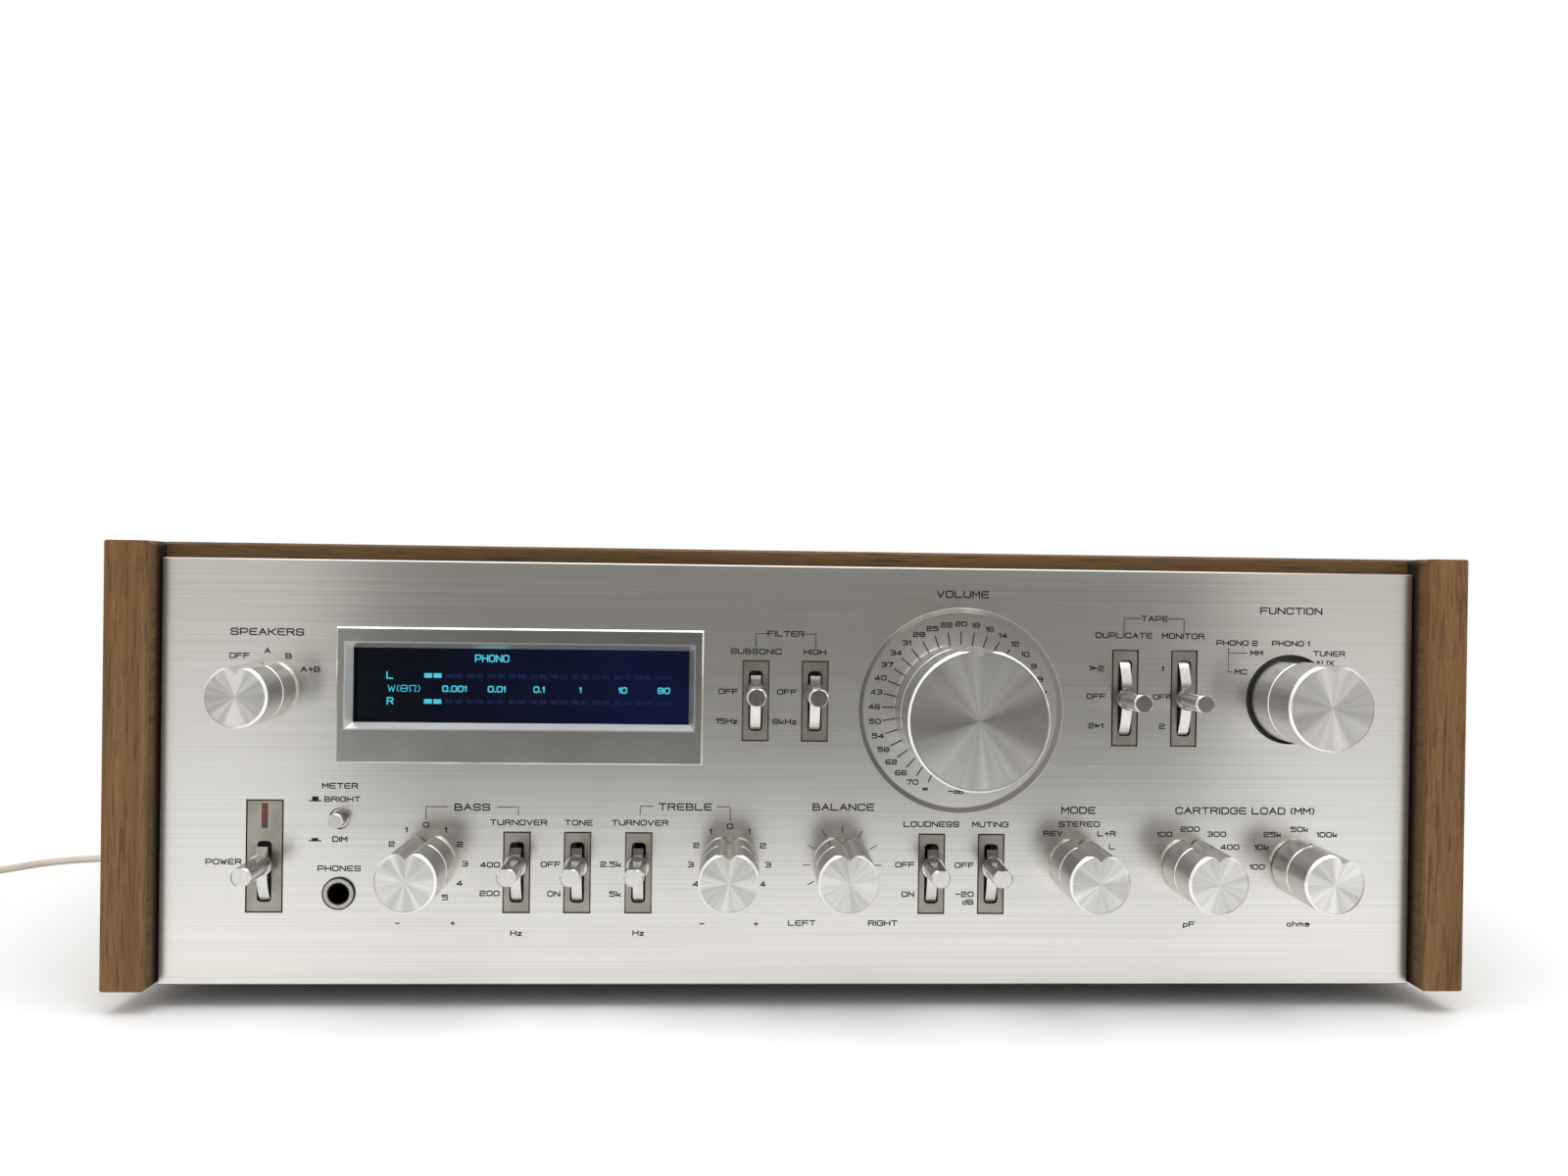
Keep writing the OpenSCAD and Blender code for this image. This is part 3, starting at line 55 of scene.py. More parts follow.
camera = bpy.context.object
camera.data.sensor_width = 36
camera.data.lens = 27
camera.data.clip_start = 0.01
scene.camera = camera

lamp_at = (0.0, -0.45, 1.15)
bpy.ops.object.light_add(type="AREA", location=lamp_at)
lamp = bpy.context.object
lamp.data.shape = "RECTANGLE"
lamp.data.size = 1.3
lamp.data.size_y = 0.9
lamp.data.energy = 10


class Tone:
    """A socket in a node tree. Arithmetic on it adds Math nodes, and node() adds any other node."""

    def __init__(self, tree, socket=None):
        self.tree = tree
        self.socket = socket

    def node(self, kind, settings, sockets, output=0):
        made = self.tree.nodes.new("ShaderNode" + kind)
        for name, value in settings.items():
            setattr(made, name, value)
        for name, value in sockets.items():
            if isinstance(value, Tone):
                self.tree.links.new(value.socket, made.inputs[name])
            else:
                made.inputs[name].default_value = value
        return Tone(self.tree, made.outputs[output])

    def math(self, operation, first, second=0.0):
        return self.node("Math", {"operation": operation}, {0: first, 1: second})

    def __add__(self, other):
        return self.math("ADD", self, other)

    def __sub__(self, other):
        return self.math("SUBTRACT", self, other)

    def __rsub__(self, other):
        return self.math("SUBTRACT", other, self)

    def __mul__(self, other):
        return self.math("MULTIPLY", self, other)

    def __truediv__(self, other):
        return self.math("DIVIDE", self, other)

    def __gt__(self, other):
        return self.math("GREATER_THAN", self, other)

    __radd__ = __add__
    __rmul__ = __mul__

    def part(self, axis):
        return self.node("SeparateXYZ", {}, {0: self}, axis)

    def stretched(self, scale):
        return self.node("Mapping", {}, {"Vector": self, "Scale": scale})

    def facing(self, axis):
        """How squarely the surface faces along an axis, from 0 to 1."""
        return self.math("ABSOLUTE", self.node("NewGeometry", {}, {}, "Normal").part(axis))

    def noise(self, scale, detail):
        return self.node("TexNoise", {}, {"Vector": self, "Scale": scale, "Detail": detail})

    def eased(self, low, high):
        return self.node("MapRange", {"interpolation_type": "SMOOTHSTEP"}, {0: self, 1: low, 2: high})

    def mix(self, first, second):
        """Colour from first to second as this value goes from 0 to 1."""
        for_colour = {0: self, 6: first, 7: second}
        return self.node("Mix", {"data_type": "RGBA"}, for_colour, 2)


def from_axis(dx, dz):
    """Distance from an axis that comes out of the faceplate."""
    return dx.math("SQRT", dx * dx + dz * dz)


def rgb(red, green, blue):
    return (red, green, blue, 1.0)


def seen_directly(tree):
    """1 for a ray from the camera or by way of metal or glass, 0 for the light on a matt surface."""
    names = ("Is Camera Ray", "Is Glossy Ray", "Is Transmission Ray")
    camera_ray, glossy_ray, clear_ray = (Tone(tree).node("LightPath", {}, {}, name) for name in names)
    return Tone(tree).math("MINIMUM", camera_ray + glossy_ray + clear_ray, 1.0)


room = bpy.data.worlds.new("white_room")
scene.world = room
room.use_nodes = True
room_colour = seen_directly(room.node_tree).mix(rgb(0.8, 0.8, 0.8), rgb(1.0, 1.0, 1.0))
room_light = room.node_tree.nodes["Background"]
room.node_tree.links.new(room_colour.socket, room_light.inputs["Color"])

bpy.ops.mesh.primitive_plane_add(size=16)
table_top = bpy.context.object
table_top.name = "table_top"
white = bpy.data.materials.new("white_table")
white.use_nodes = True
white_tree = white.node_tree
white_shader = white_tree.nodes["Principled BSDF"]
white_shader.inputs["Base Color"].default_value = rgb(0.93, 0.93, 0.925)
white_shader.inputs["Roughness"].default_value = 0.6
white_shader.inputs["Specular IOR Level"].default_value = 0.2
table_place = Tone(white_tree).node("TexCoord", {}, {}, "Object")
from_middle = table_place.node("VectorMath", {"operation": "LENGTH"}, {0: table_place}, "Value")
far_off = from_middle.eased(0.3, 0.6) * seen_directly(white_tree)
plain_white = far_off.node("Emission", {}, {"Color": rgb(1.0, 1.0, 1.0)})
near_white = Tone(white_tree, white_shader.outputs[0])
table_surface = far_off.node("MixShader", {}, {0: far_off, 1: near_white, 2: plain_white})
white_tree.links.new(table_surface.socket, white_tree.nodes["Material Output"].inputs["Surface"])
table_top.data.materials.append(white)

card_w = 0.52
card_h = 0.22
card_at = (0.012, -0.47, card_h / 2)
wall_w = 4.0
wall_h = 0.55
wall_at = (0.0, -1.3, wall_h / 2)


def upright_card(name, at, width, height, colour):
    """Card that faces the amplifier and is seen only by way of metal or glass."""
    bpy.ops.mesh.primitive_plane_add(size=1, location=at, rotation=(math.pi / 2, 0, 0))
    card = bpy.context.object
    card.name = name
    card.scale = (width, height, 1)
    card.visible_camera = False
    card.visible_diffuse = False
    card.visible_shadow = False
    cloth = bpy.data.materials.new(name + "_cloth")
    cloth.use_nodes = True
    cloth_shader = cloth.node_tree.nodes["Principled BSDF"]
    cloth_shader.inputs["Base Color"].default_value = colour
    cloth_shader.inputs["Roughness"].default_value = 0.9
    card.data.materials.append(cloth)


upright_card("dark_card", card_at, card_w, card_h, rgb(0.13, 0.122, 0.106))
upright_card("pale_wall", wall_at, wall_w, wall_h, rgb(0.5, 0.485, 0.455))

# Mains lead
# A thin vinyl lead leaves the gland at the back and lies in loose curves on the table along the left side.
# Its spare length is wound into a coil held by a strap, with the moulded plug beside it.
lead_d = 3 * mm
lead_r = lead_d / 2
flat_on_table = lead_r + 0.1 * mm
gland_low, gland_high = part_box("strain_relief")
lead_exit = Vector(((gland_low.x + gland_high.x) / 2, gland_high.y, (gland_low.z + gland_high.z) / 2))
straight_out = 8 * mm
lead_route = [lead_exit, lead_exit + Vector((0, straight_out, 0))]
drop_points = [(-186, 232, 24), (-193, 248, 9), (-208, 257, 2.6)]
table_points = [
    (-228, 256), (-250, 244), (-265, 220), (-269, 190), (-266, 155), (-262, 120), (-262, 85), (-270, 58),
    (-288, 43), (-312, 36), (-337, 32), (-355, 24), (-369, 8), (-384, -8)
]
lead_route += [Vector(point) * mm for point in drop_points]
lead_route += [Vector((x * mm, y * mm, flat_on_table)) for x, y in table_points]
coil_middle = Vector((-382, -62)) * mm
coil_r = 38 * mm
coil_pitch = 3.8 * mm
coil_layer = 3.6 * mm
coil_turns = 3.66
turn_softness = 0.01
coil_from = math.radians(135)
strap_t = 0.6 * mm
coil_z = strap_t + 0.2 * mm + lead_r
coil_steps = 24


def coil_point(turn):
    """Point of the coil: in along the lower layer, up where it turns back, out along the upper layer."""
    past_middle = turn - coil_turns
    radius = coil_r - coil_pitch * (coil_turns - math.sqrt(past_middle**2 + turn_softness))
    angle = coil_from + math.tau * turn
    climb = min(max(2 * past_middle + 0.5, 0.0), 1.0)
    height = coil_z + coil_layer * climb * climb * (3 - 2 * climb)
    across = Vector((math.cos(angle), math.sin(angle), 0)) * radius
    return Vector((coil_middle.x, coil_middle.y, height)) + across


coil_heading = Vector((-math.sin(coil_from), math.cos(coil_from), 0))
coil_start = coil_point(0) - lead_d * coil_heading
coil_start.x = coil_middle.x + coil_r * math.cos(coil_from) - lead_d * coil_heading.x
coil_start.y = coil_middle.y + coil_r * math.sin(coil_from) - lead_d * coil_heading.y
run_in = 10 * mm
run_in_drop = Vector((0, 0, 0.3 * mm))
lead_route.append(coil_start - run_in * coil_heading - run_in_drop)
lead_route.append(coil_start)
coil_points = round(2 * coil_steps * coil_turns) + 1
coil_line = [coil_point(step / coil_steps) for step in range(coil_points)]
lead_route += coil_line
plug_way = coil_line[-1] - coil_line[-2]
plug_way.z = 0
plug_way.normalize()
plug_tail = 30 * mm
lead_route += [coil_line[-1] + plug_way * plug_tail / 2, coil_line[-1] + plug_way * plug_tail]

lead_curve = bpy.data.curves.new("mains_lead_vinyl", "CURVE")
lead_curve.dimensions = "3D"
lead_curve.bevel_depth = lead_r
lead_curve.bevel_resolution = 4
lead_curve.resolution_u = 5
lead_curve.use_fill_caps = True
lead_line = lead_curve.splines.new("BEZIER")
lead_line.bezier_points.add(len(lead_route) - 1)
for knot, point in zip(lead_line.bezier_points, lead_route):
    knot.co = point
    knot.handle_left_type = "AUTO"
    knot.handle_right_type = "AUTO"
mains_lead = bpy.data.objects.new("mains_lead_vinyl", lead_curve)
scene.collection.objects.link(mains_lead)


def new_finish(name, colour, roughness, metallic=0.0):
    """Material with its constants set, its shader, and the Object coordinates that its pattern reads."""
    material = bpy.data.materials.new(name)
    material.use_nodes = True
    shader = material.node_tree.nodes["Principled BSDF"]
    shader.inputs["Base Color"].default_value = colour
    shader.inputs["Roughness"].default_value = roughness
    shader.inputs["Metallic"].default_value = metallic
    place = Tone(material.node_tree).node("TexCoord", {}, {}, "Object")
    return material, shader, place


def feed(shader, **tones):
    """Links tones to the shader's sockets, whose names are written with _ for a space."""
    for name, tone in tones.items():
        tone.tree.links.new(tone.socket, shader.inputs[name.replace("_", " ")])


def bump(height, strength, distance):
    return height.node("Bump", {}, {"Height": height, "Strength": strength, "Distance": distance}, "Normal")


def dress(node, material):
    """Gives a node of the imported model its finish."""
    nodes[node].data.materials.clear()
    nodes[node].data.materials.append(material)


def soft_plastic(name, colour, worn, roughness):
    """Moulded plastic or vinyl: a slightly uneven colour, a fine grain and a little wear."""
    material, shader, place = new_finish(name, colour, roughness)
    cloud = place.noise(90, 3).eased(0.3, 0.75)
    grain = place.noise(2600, 2)
    feed(shader, Base_Color=cloud.mix(colour, worn), Roughness=roughness - 0.06 + 0.12 * grain)
    feed(shader, Normal=bump(grain, 0.25, 0.00004))
    return material


lead_vinyl = soft_plastic("lead_vinyl", rgb(0.66, 0.6, 0.5), rgb(0.56, 0.5, 0.41), 0.5)
black_plastic = soft_plastic("black_plastic", rgb(0.018, 0.018, 0.019), rgb(0.032, 0.031, 0.03), 0.45)
lead_curve.materials.append(lead_vinyl)
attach(mains_lead, "amplifier")
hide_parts("mains_lead", "mains_lead_coil")
dress("mains_plug", lead_vinyl)
dress("lead_tie", black_plastic)
dress("strain_relief", black_plastic)
lead_length = sum((b - a).length for a, b in zip(lead_route, lead_route[1:]))

# Faceplate
# A 4 mm aluminium plate, brushed along its length and clear anodised. The brushing draws every reflection out
# upwards and downwards, so the lobe of the shader is wide across the brush lines. The sawn walls of its
# openings carry painted shade, and the small bevel round it is duller than the front.
face_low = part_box("faceplate")[0]


def on_face(x, z, out=0.0):
    """Point in millimetres from the middle of the faceplate's lower edge, out towards the viewer."""
    return Vector((x * mm, face_low.y - out * mm, face_low.z + z * mm))


bright_plate = rgb(0.82, 0.807, 0.766)
dull_plate = rgb(0.69, 0.678, 0.64)
sheet, sheet_shader, sheet_place = new_finish("brushed_faceplate", bright_plate, 0.3, 1.0)
hairs = sheet_place.stretched((5.0, 200.0, 1900.0)).noise(1.0, 3)
clouds = sheet_place.noise(14, 2).eased(0.25, 0.8)
brush_tone = (0.75 * hairs.eased(0.3, 0.7) + 0.25 * clouds).mix(dull_plate, bright_plate)
sheet_facing = sheet_place.facing(1)
# Faces turned away from the front are painted darker: painted shade on the walls of the openings, grey on the
# bevel.
wall_shade_bevel_tone = sheet_facing.eased(0.2, 0.6).mix(rgb(0.1, 0.096, 0.088), rgb(0.4, 0.392, 0.37))
feed(sheet_shader, Base_Color=sheet_facing.eased(0.78, 0.95).mix(wall_shade_bevel_tone, brush_tone))
feed(sheet_shader, Roughness=0.276 + 0.025 * hairs, Normal=bump(hairs, 0.06, 0.00005))
sheet_shader.inputs["Anisotropic"].default_value = 0.5
sheet_shader.inputs["Anisotropic Rotation"].default_value = 0.25
dress("faceplate", sheet)

# Lettering
# Dark print on the faceplate, in a wide squarish sans. Each letter is a few strokes on a grid eight steps
# high, with round corners inside a stroke and square ends. The strokes are thin flat ribs of paint.
grid_h = 8
strokes_of = {
    "A": "00 48|48 80|23 63", "B": "04 74 78 08|08 00|00 80 84 74", "C": "86 88 08 00 80 82",
    "D": "00 08|08 88 80 00", "E": "88 08 00 80|04 74", "F": "88 08|08 00|04 74",
    "G": "86 88 08 00 80 84|84 54", "H": "00 08|80 88|04 84", "I": "00 08", "K": "00 08|88 34|34 04|34 80",
    "L": "08 00|00 80", "M": "00 08|08 43|43 88|88 80", "N": "00 08|08 80|80 88", "O": "40 80 88 08 00 40",
    "P": "00 08|08 88 83 03", "Q": "40 80 88 08 00 40|52 80", "R": "00 08|08 88 84 04|54 80",
    "S": "86 88 08 04 84 80 00 02", "T": "08 88|48 40", "U": "08 00 80 88", "V": "08 40|40 88",
    "W": "08 20|20 46|46 60|60 88", "X": "08 80|00 88", "Z": "08 88|88 00|00 80",
    "k": "00 08|65 22|22 02|22 60", "z": "05 65|65 00|00 60", "o": "30 60 65 05 00 30",
    "h": "00 08|04 05 65 60", "m": "00 05|04 05 85 80|45 40", "s": "64 65 05 03 63 60 00 01",
    "p": "0n 05|05 65 60 00", "d": "68 60 00 05 65", "0": "40 80 88 08 00 40", "1": "06 28|28 20",
    "2": "06 08 88 84 04 00|00 80", "3": "08 88 80 00|24 84", "4": "60 68|68 02|02 82",
    "5": "88 08|08 05|05 85 80 00", "6": "88 08 00 80 84 04", "7": "08 88|88 30",
    "8": "04 84 88 08 00 80 84", "9": "00 80 88 08 04 84", "+": "14 74|41 47", "-": "04 64", ".": "00 10",
    "(": "28 06 02 20", ")": "08 26 22 00", "∞": "44 22 02 06 26 44 62 82 86 66 44",
    "Ω": "00 20 06 08 88 86 60 80", "▶": "02 06|06 74|74 02|13 15 54|24 54"
}
corner_r = 2.2
corner_shares = (0.0, 0.3, 0.7, 1.0)
stroke_end = 0.7
letter_gap = 2.8
word_gap = 5.0
letter_stretch = 1.12


def grid_points(stroke):
    """Points of a stroke in grid steps, across and up. The letter n stands for two steps below the line."""
    return [tuple(-2 if step == "n" else int(step) for step in point) for point in stroke.split()]


def softened(points):
    """Stroke with its corners rounded and its ends drawn out to the edge of the strokes that they meet."""
    first, last = Vector(points[0]), Vector(points[-1])
    line = [first + (first - Vector(points[1])).normalized() * stroke_end]
    for before, corner, after in zip(points, points[1:], points[2:]):
        middle = Vector(corner)
        back = Vector(before) - middle
        ahead = Vector(after) - middle
        start = middle + back.normalized() * min(corner_r, back.length / 2)
        end = middle + ahead.normalized() * min(corner_r, ahead.length / 2)
        for share in corner_shares:
            line.append((1 - share) ** 2 * start + 2 * share * (1 - share) * middle + share**2 * end)
    line.append(last + (last - Vector(points[-2])).normalized() * stroke_end)
    return line


def word(text, x, z, height, align=0.5, stretch=letter_stretch):
    """Strokes of a word in millimetres. It is centred on x, or ends there with align 1."""
    placed = []
    pen = 0.0
    for letter in text:
        if letter == " ":
            pen += word_gap
            continue
        strokes = [softened(grid_points(stroke)) for stroke in strokes_of[letter].split("|")]
        placed += [[Vector((pen + point.x, point.y)) for point in stroke] for stroke in strokes]
        pen += max(int(point[0]) for point in strokes_of[letter].replace("|", " ").split()) + letter_gap
    step = height / grid_h
    width = (pen - letter_gap) * step * stretch
    start = x - align * width
    low = z - height / 2
    return [[(start + p.x * step * stretch, low + p.y * step) for p in stroke] for stroke in placed]


def only(piece):
    """Selects one object alone and makes it active."""
    bpy.ops.object.select_all(action="DESELECT")
    piece.select_set(True)
    bpy.context.view_layer.objects.active = piece


def turn_faces_out(piece):
    only(piece)
    bpy.ops.object.mode_set(mode="EDIT")
    bpy.ops.mesh.select_all(action="SELECT")
    bpy.ops.mesh.normals_make_consistent(inside=False)
    bpy.ops.object.mode_set(mode="OBJECT")


def flat_print(name, strokes, out, material):
    """One flat mesh of all strokes, each (points, width), lying at a distance in front of the faceplate."""
    curve = bpy.data.curves.new(name, "CURVE")
    curve.dimensions = "3D"
    curve.bevel_depth = 0.5
    curve.bevel_resolution = 0
    curve.use_fill_caps = True
    for points, width in strokes:
        line = curve.splines.new("POLY")
        line.points.add(len(points) - 1)
        for knot, (x, z) in zip(line.points, points):
            knot.co = (x, z, 0, 1)
            knot.radius = width
    piece = bpy.data.objects.new(name, curve)
    scene.collection.objects.link(piece)
    only(piece)
    bpy.ops.object.convert(target="MESH")
    thinner = 0.06
    for vertex in piece.data.vertices:
        vertex.co = on_face(vertex.co.x, vertex.co.y, out + vertex.co.z * thinner)
    turn_faces_out(piece)
    piece.data.materials.clear()
    piece.data.materials.append(material)
    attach(piece, "amplifier")


heading = 2.0
label = 1.58
number = 1.5
lower_row = 40.2
upper_row = 97.3
printed_words = [
    ("SPEAKERS", -175.7, 116.4, heading), ("OFF", -184.6, 108.5, number), ("A", -175.6, 110.2, number),
    ("B", -168.7, 108.5, number), ("A+B", -161.6, 104.2, number), ("POWER", -189, 40.6, label),
    ("METER", -151.5, 65.8, label), ("BRIGHT", -150.7, 61.4, number), ("DIM", -151.4, 48.2, number),
    ("PHONES", -151.5, 38.5, label),
    ("BASS", -108.2, 59.0, heading), ("TURNOVER", -92.9, 54.0, label), ("Hz", -93.3, 17.2, number),
    ("TONE", -73.1, 54.0, label), ("TURNOVER", -52.8, 54.1, label), ("Hz", -52.9, 17.3, number),
    ("TREBLE", -37.8, 59.5, heading), ("BALANCE", 15.2, 59.7, heading), ("LEFT", 1.7, 20.7, label),
    ("RIGHT", 29.0, 20.7, label), ("LOUDNESS", 45.0, 54.1, label), ("MUTING", 65.0, 54.1, label),
    ("MODE", 95.1, 59.1, heading), ("STEREO", 95.4, 54.4, label), ("REV", 86.5, 51.2, number),
    ("L+R", 104.8, 51.2, number), ("L", 106.7, 46.8, number), ("R", 108.1, 40.2, number),
    ("CARTRIDGE LOAD (MM)", 152.5, 59.2, heading), ("100", 124.8, 51.1, number), ("200", 133.6, 52.9, number),
    ("300", 142.8, 51.2, number), ("400", 147.4, 46.8, number), ("500", 147.9, 40.2, number),
    ("pF", 133.6, 20.5, label), ("100", 157.0, 40.1, number), ("10k", 158.4, 46.8, number),
    ("25k", 162.1, 51.2, number), ("50k", 171.5, 53.0, number), ("100k", 181.1, 51.2, number),
    ("ohms", 171.5, 20.7, label), ("FILTER", -4.9, 117.7, label), ("SUBSONIC", -14.8, 111.7, label),
    ("HIGH", 4.9, 111.7, label), ("VOLUME", 54.6, 131.7, heading), ("TAPE", 120.3, 124.3, label),
    ("DUPLICATE", 109.8, 118.5, label), ("MONITOR", 130.2, 118.5, label), ("1▶2", 100.5, 107.3, number),
    ("OFF", 100.5, 97.8, number), ("2▶1", 100.5, 87.8, number), ("1", 123.3, 107.3, number),
    ("OFF", 123.3, 97.8, number), ("2", 123.3, 87.8, number), ("FUNCTION", 167.5, 127.5, heading),
    ("PHONO 2", 148.9, 116.4, number), ("PHONO 1", 167.5, 116.4, number), ("MM", 155.7, 113.0, number),
    ("MC", 150.3, 106.6, number), ("TUNER", 180.9, 113.1, number), ("AUX", 179.4, 109.9, number)
]
words_ending_at = [
    ("400", -99.1, 39.9), ("200", -99.1, 30.4), ("OFF", -79.1, 40.1), ("ON", -79.1, 30.3),
    ("2.5k", -59.0, 40.2), ("5k", -59.0, 30.3), ("OFF", 39.3, 40.4), ("ON", 39.3, 30.5),
    ("OFF", 59.5, 40.3), ("-20", 59.5, 30.5), ("dB", 59.5, 27.9), ("OFF", -20.9, 98.2),
    ("15Hz", -20.9, 88.3), ("OFF", -1.2, 98.2), ("8kHz", -1.2, 88.3)
]
bold = 0.46
medium = 0.4
fine = 0.3
face_strokes = []
for text, x, z, height in printed_words:
    face_strokes += [(stroke, bold if height == heading else medium) for stroke in word(text, x, z, height)]
for text, x, z in words_ending_at:
    face_strokes += [(stroke, medium) for stroke in word(text, x, z, number, align=1)]

# Brackets from a heading to the two controls below it: both ends, height, both feet, half gap, middle
brackets = [
    (-123.4, -93.1, 59.1, 54.9, 56.4, 8.2, -108.2), (-52.8, -22.8, 59.6, 56.7, 54.9, 10.4, -37.8),
    (-14.9, 5.1, 117.7, 113.3, 113.3, 6.2, -4.9), (109.8, 130.4, 124.3, 119.5, 119.5, 4.7, 120.3)
]
for left, right, height, left_foot, right_foot, gap, middle in brackets:
    face_strokes.append(([(left, left_foot), (left, height), (middle - gap, height)], fine))
    face_strokes.append(([(middle + gap, height), (right, height), (right, right_foot)], fine))
# Signs for the meter button let out and pressed in: a line with a taller or a lower block on it
sign_x = -159.5
sign_line = 4.1
sign_block = 2.1
for foot, block_h in ((60.8, 1.5), (47.6, 0.9)):
    face_strokes.append(([(sign_x - sign_line / 2, foot), (sign_x + sign_line / 2, foot)], medium))
    block_z = foot + block_h / 2
    face_strokes.append(([(sign_x - sign_block / 2, block_z), (sign_x + sign_block / 2, block_z)], block_h))
# Branch from a function of the knob to its two settings
stem_x = 145.9
upper_branch = 113.0
lower_branch = 106.6
branch = [(152.4, upper_branch), (stem_x, upper_branch), (stem_x, lower_branch), (147.4, lower_branch)]
face_strokes.append((branch, fine))
face_strokes.append(([(stem_x, 114.6), (stem_x, upper_branch)], fine))


def around(x, z, radius, angle):
    """Point round a control, its angle clockwise from straight up."""
    turn = math.radians(angle)
    return (x + radius * math.sin(turn), z + radius * math.cos(turn))


bass_x = -123.3
treble_x = -22.8
balance_x = 15.0
scale_step = 30
scale_r = 12.9
tick_ends = (10.7, 13.4)
sign_reach = 9
sign_z = 20.4
scale_marks = range(-5, 6)
for knob_x in (bass_x, treble_x):
    for mark in scale_marks:
        mark_at = around(knob_x, lower_row, scale_r, mark * scale_step)
        face_strokes += [(stroke, medium) for stroke in word(str(abs(mark)), *mark_at, number)]
    for sign, sign_at in (("-", knob_x - sign_reach), ("+", knob_x + sign_reach)):
        face_strokes += [(stroke, medium) for stroke in word(sign, sign_at, sign_z, number)]
for mark in scale_marks:
    tick = [around(balance_x, lower_row, radius, mark * scale_step) for radius in tick_ends]
    face_strokes.append((tick, fine))

print_ink, ink_shader, ink_place = new_finish("print_ink", rgb(0.02, 0.019, 0.018), 0.6)
ink_shader.inputs["Specular IOR Level"].default_value = 0.1
ink_tone = ink_place.noise(900, 2).eased(0.35, 0.7)
feed(ink_shader, Base_Color=ink_tone.mix(rgb(0.012, 0.011, 0.01), rgb(0.03, 0.028, 0.025)))
print_lift = 0.012
flat_print("faceplate_print", face_strokes, print_lift, print_ink)

# Volume dial
# A dished aluminium ring let into the faceplate, with a tick and a number for each step of the attenuator.
dial_floor = -1.6
volume_at = (54.5, 92.5)
dial_step = 9.8
dial_tick_ends = (22.2, 26.6)
dial_number_r = 29.2
dial_number = 1.4
dial_unit_at = (volume_at[0] - 1, volume_at[1] - 27.5)
dial_numbers = {0: "20"}
for place, text in enumerate("22 25 28 31 34 37 40 43 46 50 54 58 62 66 70 ∞".split(), 1):
    dial_numbers[-place] = text
for place, text in enumerate("18 16 14 12 10 9 8 7 6 5 4 3 2 1 0".split(), 1):
    dial_numbers[place] = text
dial_strokes = []
for place, text in dial_numbers.items():
    angle = place * dial_step
    tick = [around(*volume_at, radius, angle) for radius in dial_tick_ends]
    dial_strokes.append((tick, medium))
    number_at = around(*volume_at, dial_number_r, angle)
    dial_strokes += [(stroke, medium) for stroke in word(text, *number_at, dial_number)]
dial_strokes += [(stroke, medium) for stroke in word("-dB", *dial_unit_at, dial_number)]
flat_print("dial_print", dial_strokes, dial_floor + print_lift, print_ink)
dial_metal, dial_shader, dial_place = new_finish("dial_aluminium", rgb(0.86, 0.85, 0.81), 0.3, 1.0)
dial_grain = dial_place.noise(1800, 3)
dial_cloud = dial_place.noise(30, 2).eased(0.3, 0.7)
dial_wear = 0.4 * dial_grain.eased(0.3, 0.7) + 0.6 * dial_cloud
dial_tone = dial_wear.mix(rgb(0.82, 0.808, 0.772), rgb(0.9, 0.888, 0.852))
dial_middle = on_face(*volume_at)
dial_out = from_axis(dial_place.part(0) - dial_middle.x, dial_place.part(2) - dial_middle.z)
# The sloping outer wall of the dish is painted darker: painted shade.
dial_wall_shade = dial_out.eased(32.8 * mm, 33.2 * mm) * (1 - dial_out.eased(34.4 * mm, 34.7 * mm))
feed(dial_shader, Base_Color=dial_wall_shade.mix(dial_tone, rgb(0.36, 0.35, 0.33)))
feed(dial_shader, Roughness=0.28 + 0.06 * dial_grain)
dress("volume_dial", dial_metal)

# Meter
# A satin aluminium bezel round a dark pane, with a fluorescent display behind it: words and numbers that are
# always lit, and a row of bar segments for each channel, of which the first two are lit.
satin, satin_shader, satin_place = new_finish("bezel_aluminium", rgb(0.42, 0.415, 0.4), 0.3, 1.0)
satin_grain = satin_place.noise(2200, 3)
satin_cloud = satin_place.noise(40, 2).eased(0.3, 0.7)
satin_tone = 0.6 * satin_grain.eased(0.3, 0.7) + 0.4 * satin_cloud
satin_face = satin_tone.mix(rgb(0.35, 0.345, 0.33), rgb(0.5, 0.495, 0.48))
bezel_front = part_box("meter_bezel")[0].y
on_line = 1 - (satin_place.part(1) > bezel_front + 0.1 * mm)
# Every face turned away from the front, and the foremost edge line, are painted pale: a painted highlight.
rim_and_line_highlight = satin_place.math("MAXIMUM", 1 - satin_place.facing(1).eased(0.78, 0.95), on_line)
feed(satin_shader, Base_Color=rim_and_line_highlight.mix(satin_face, rgb(0.8, 0.79, 0.77)))
feed(satin_shader, Roughness=0.28 + 0.1 * satin_grain, Normal=bump(satin_grain, 0.12, 0.00006))
dress("meter_bezel", satin)

pane, pane_shader, pane_place = new_finish("smoked_glass", rgb(0.5, 0.55, 0.62), 0.02)
pane_shader.inputs["Transmission Weight"].default_value = 1.0
pane_shader.inputs["IOR"].default_value = 1.3
feed(pane_shader, Roughness=0.01 + 0.03 * pane_place.noise(60, 2))
dress("meter_window", pane)

tube, tube_shader, tube_place = new_finish("display_glass", rgb(0.004, 0.005, 0.012), 0.15)
tube_low, tube_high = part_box("display_tube")
tube_cloud = tube_place.noise(35, 2).eased(0.35, 0.8)
tube_right = tube_place.part(0).eased(tube_low.x, tube_high.x)
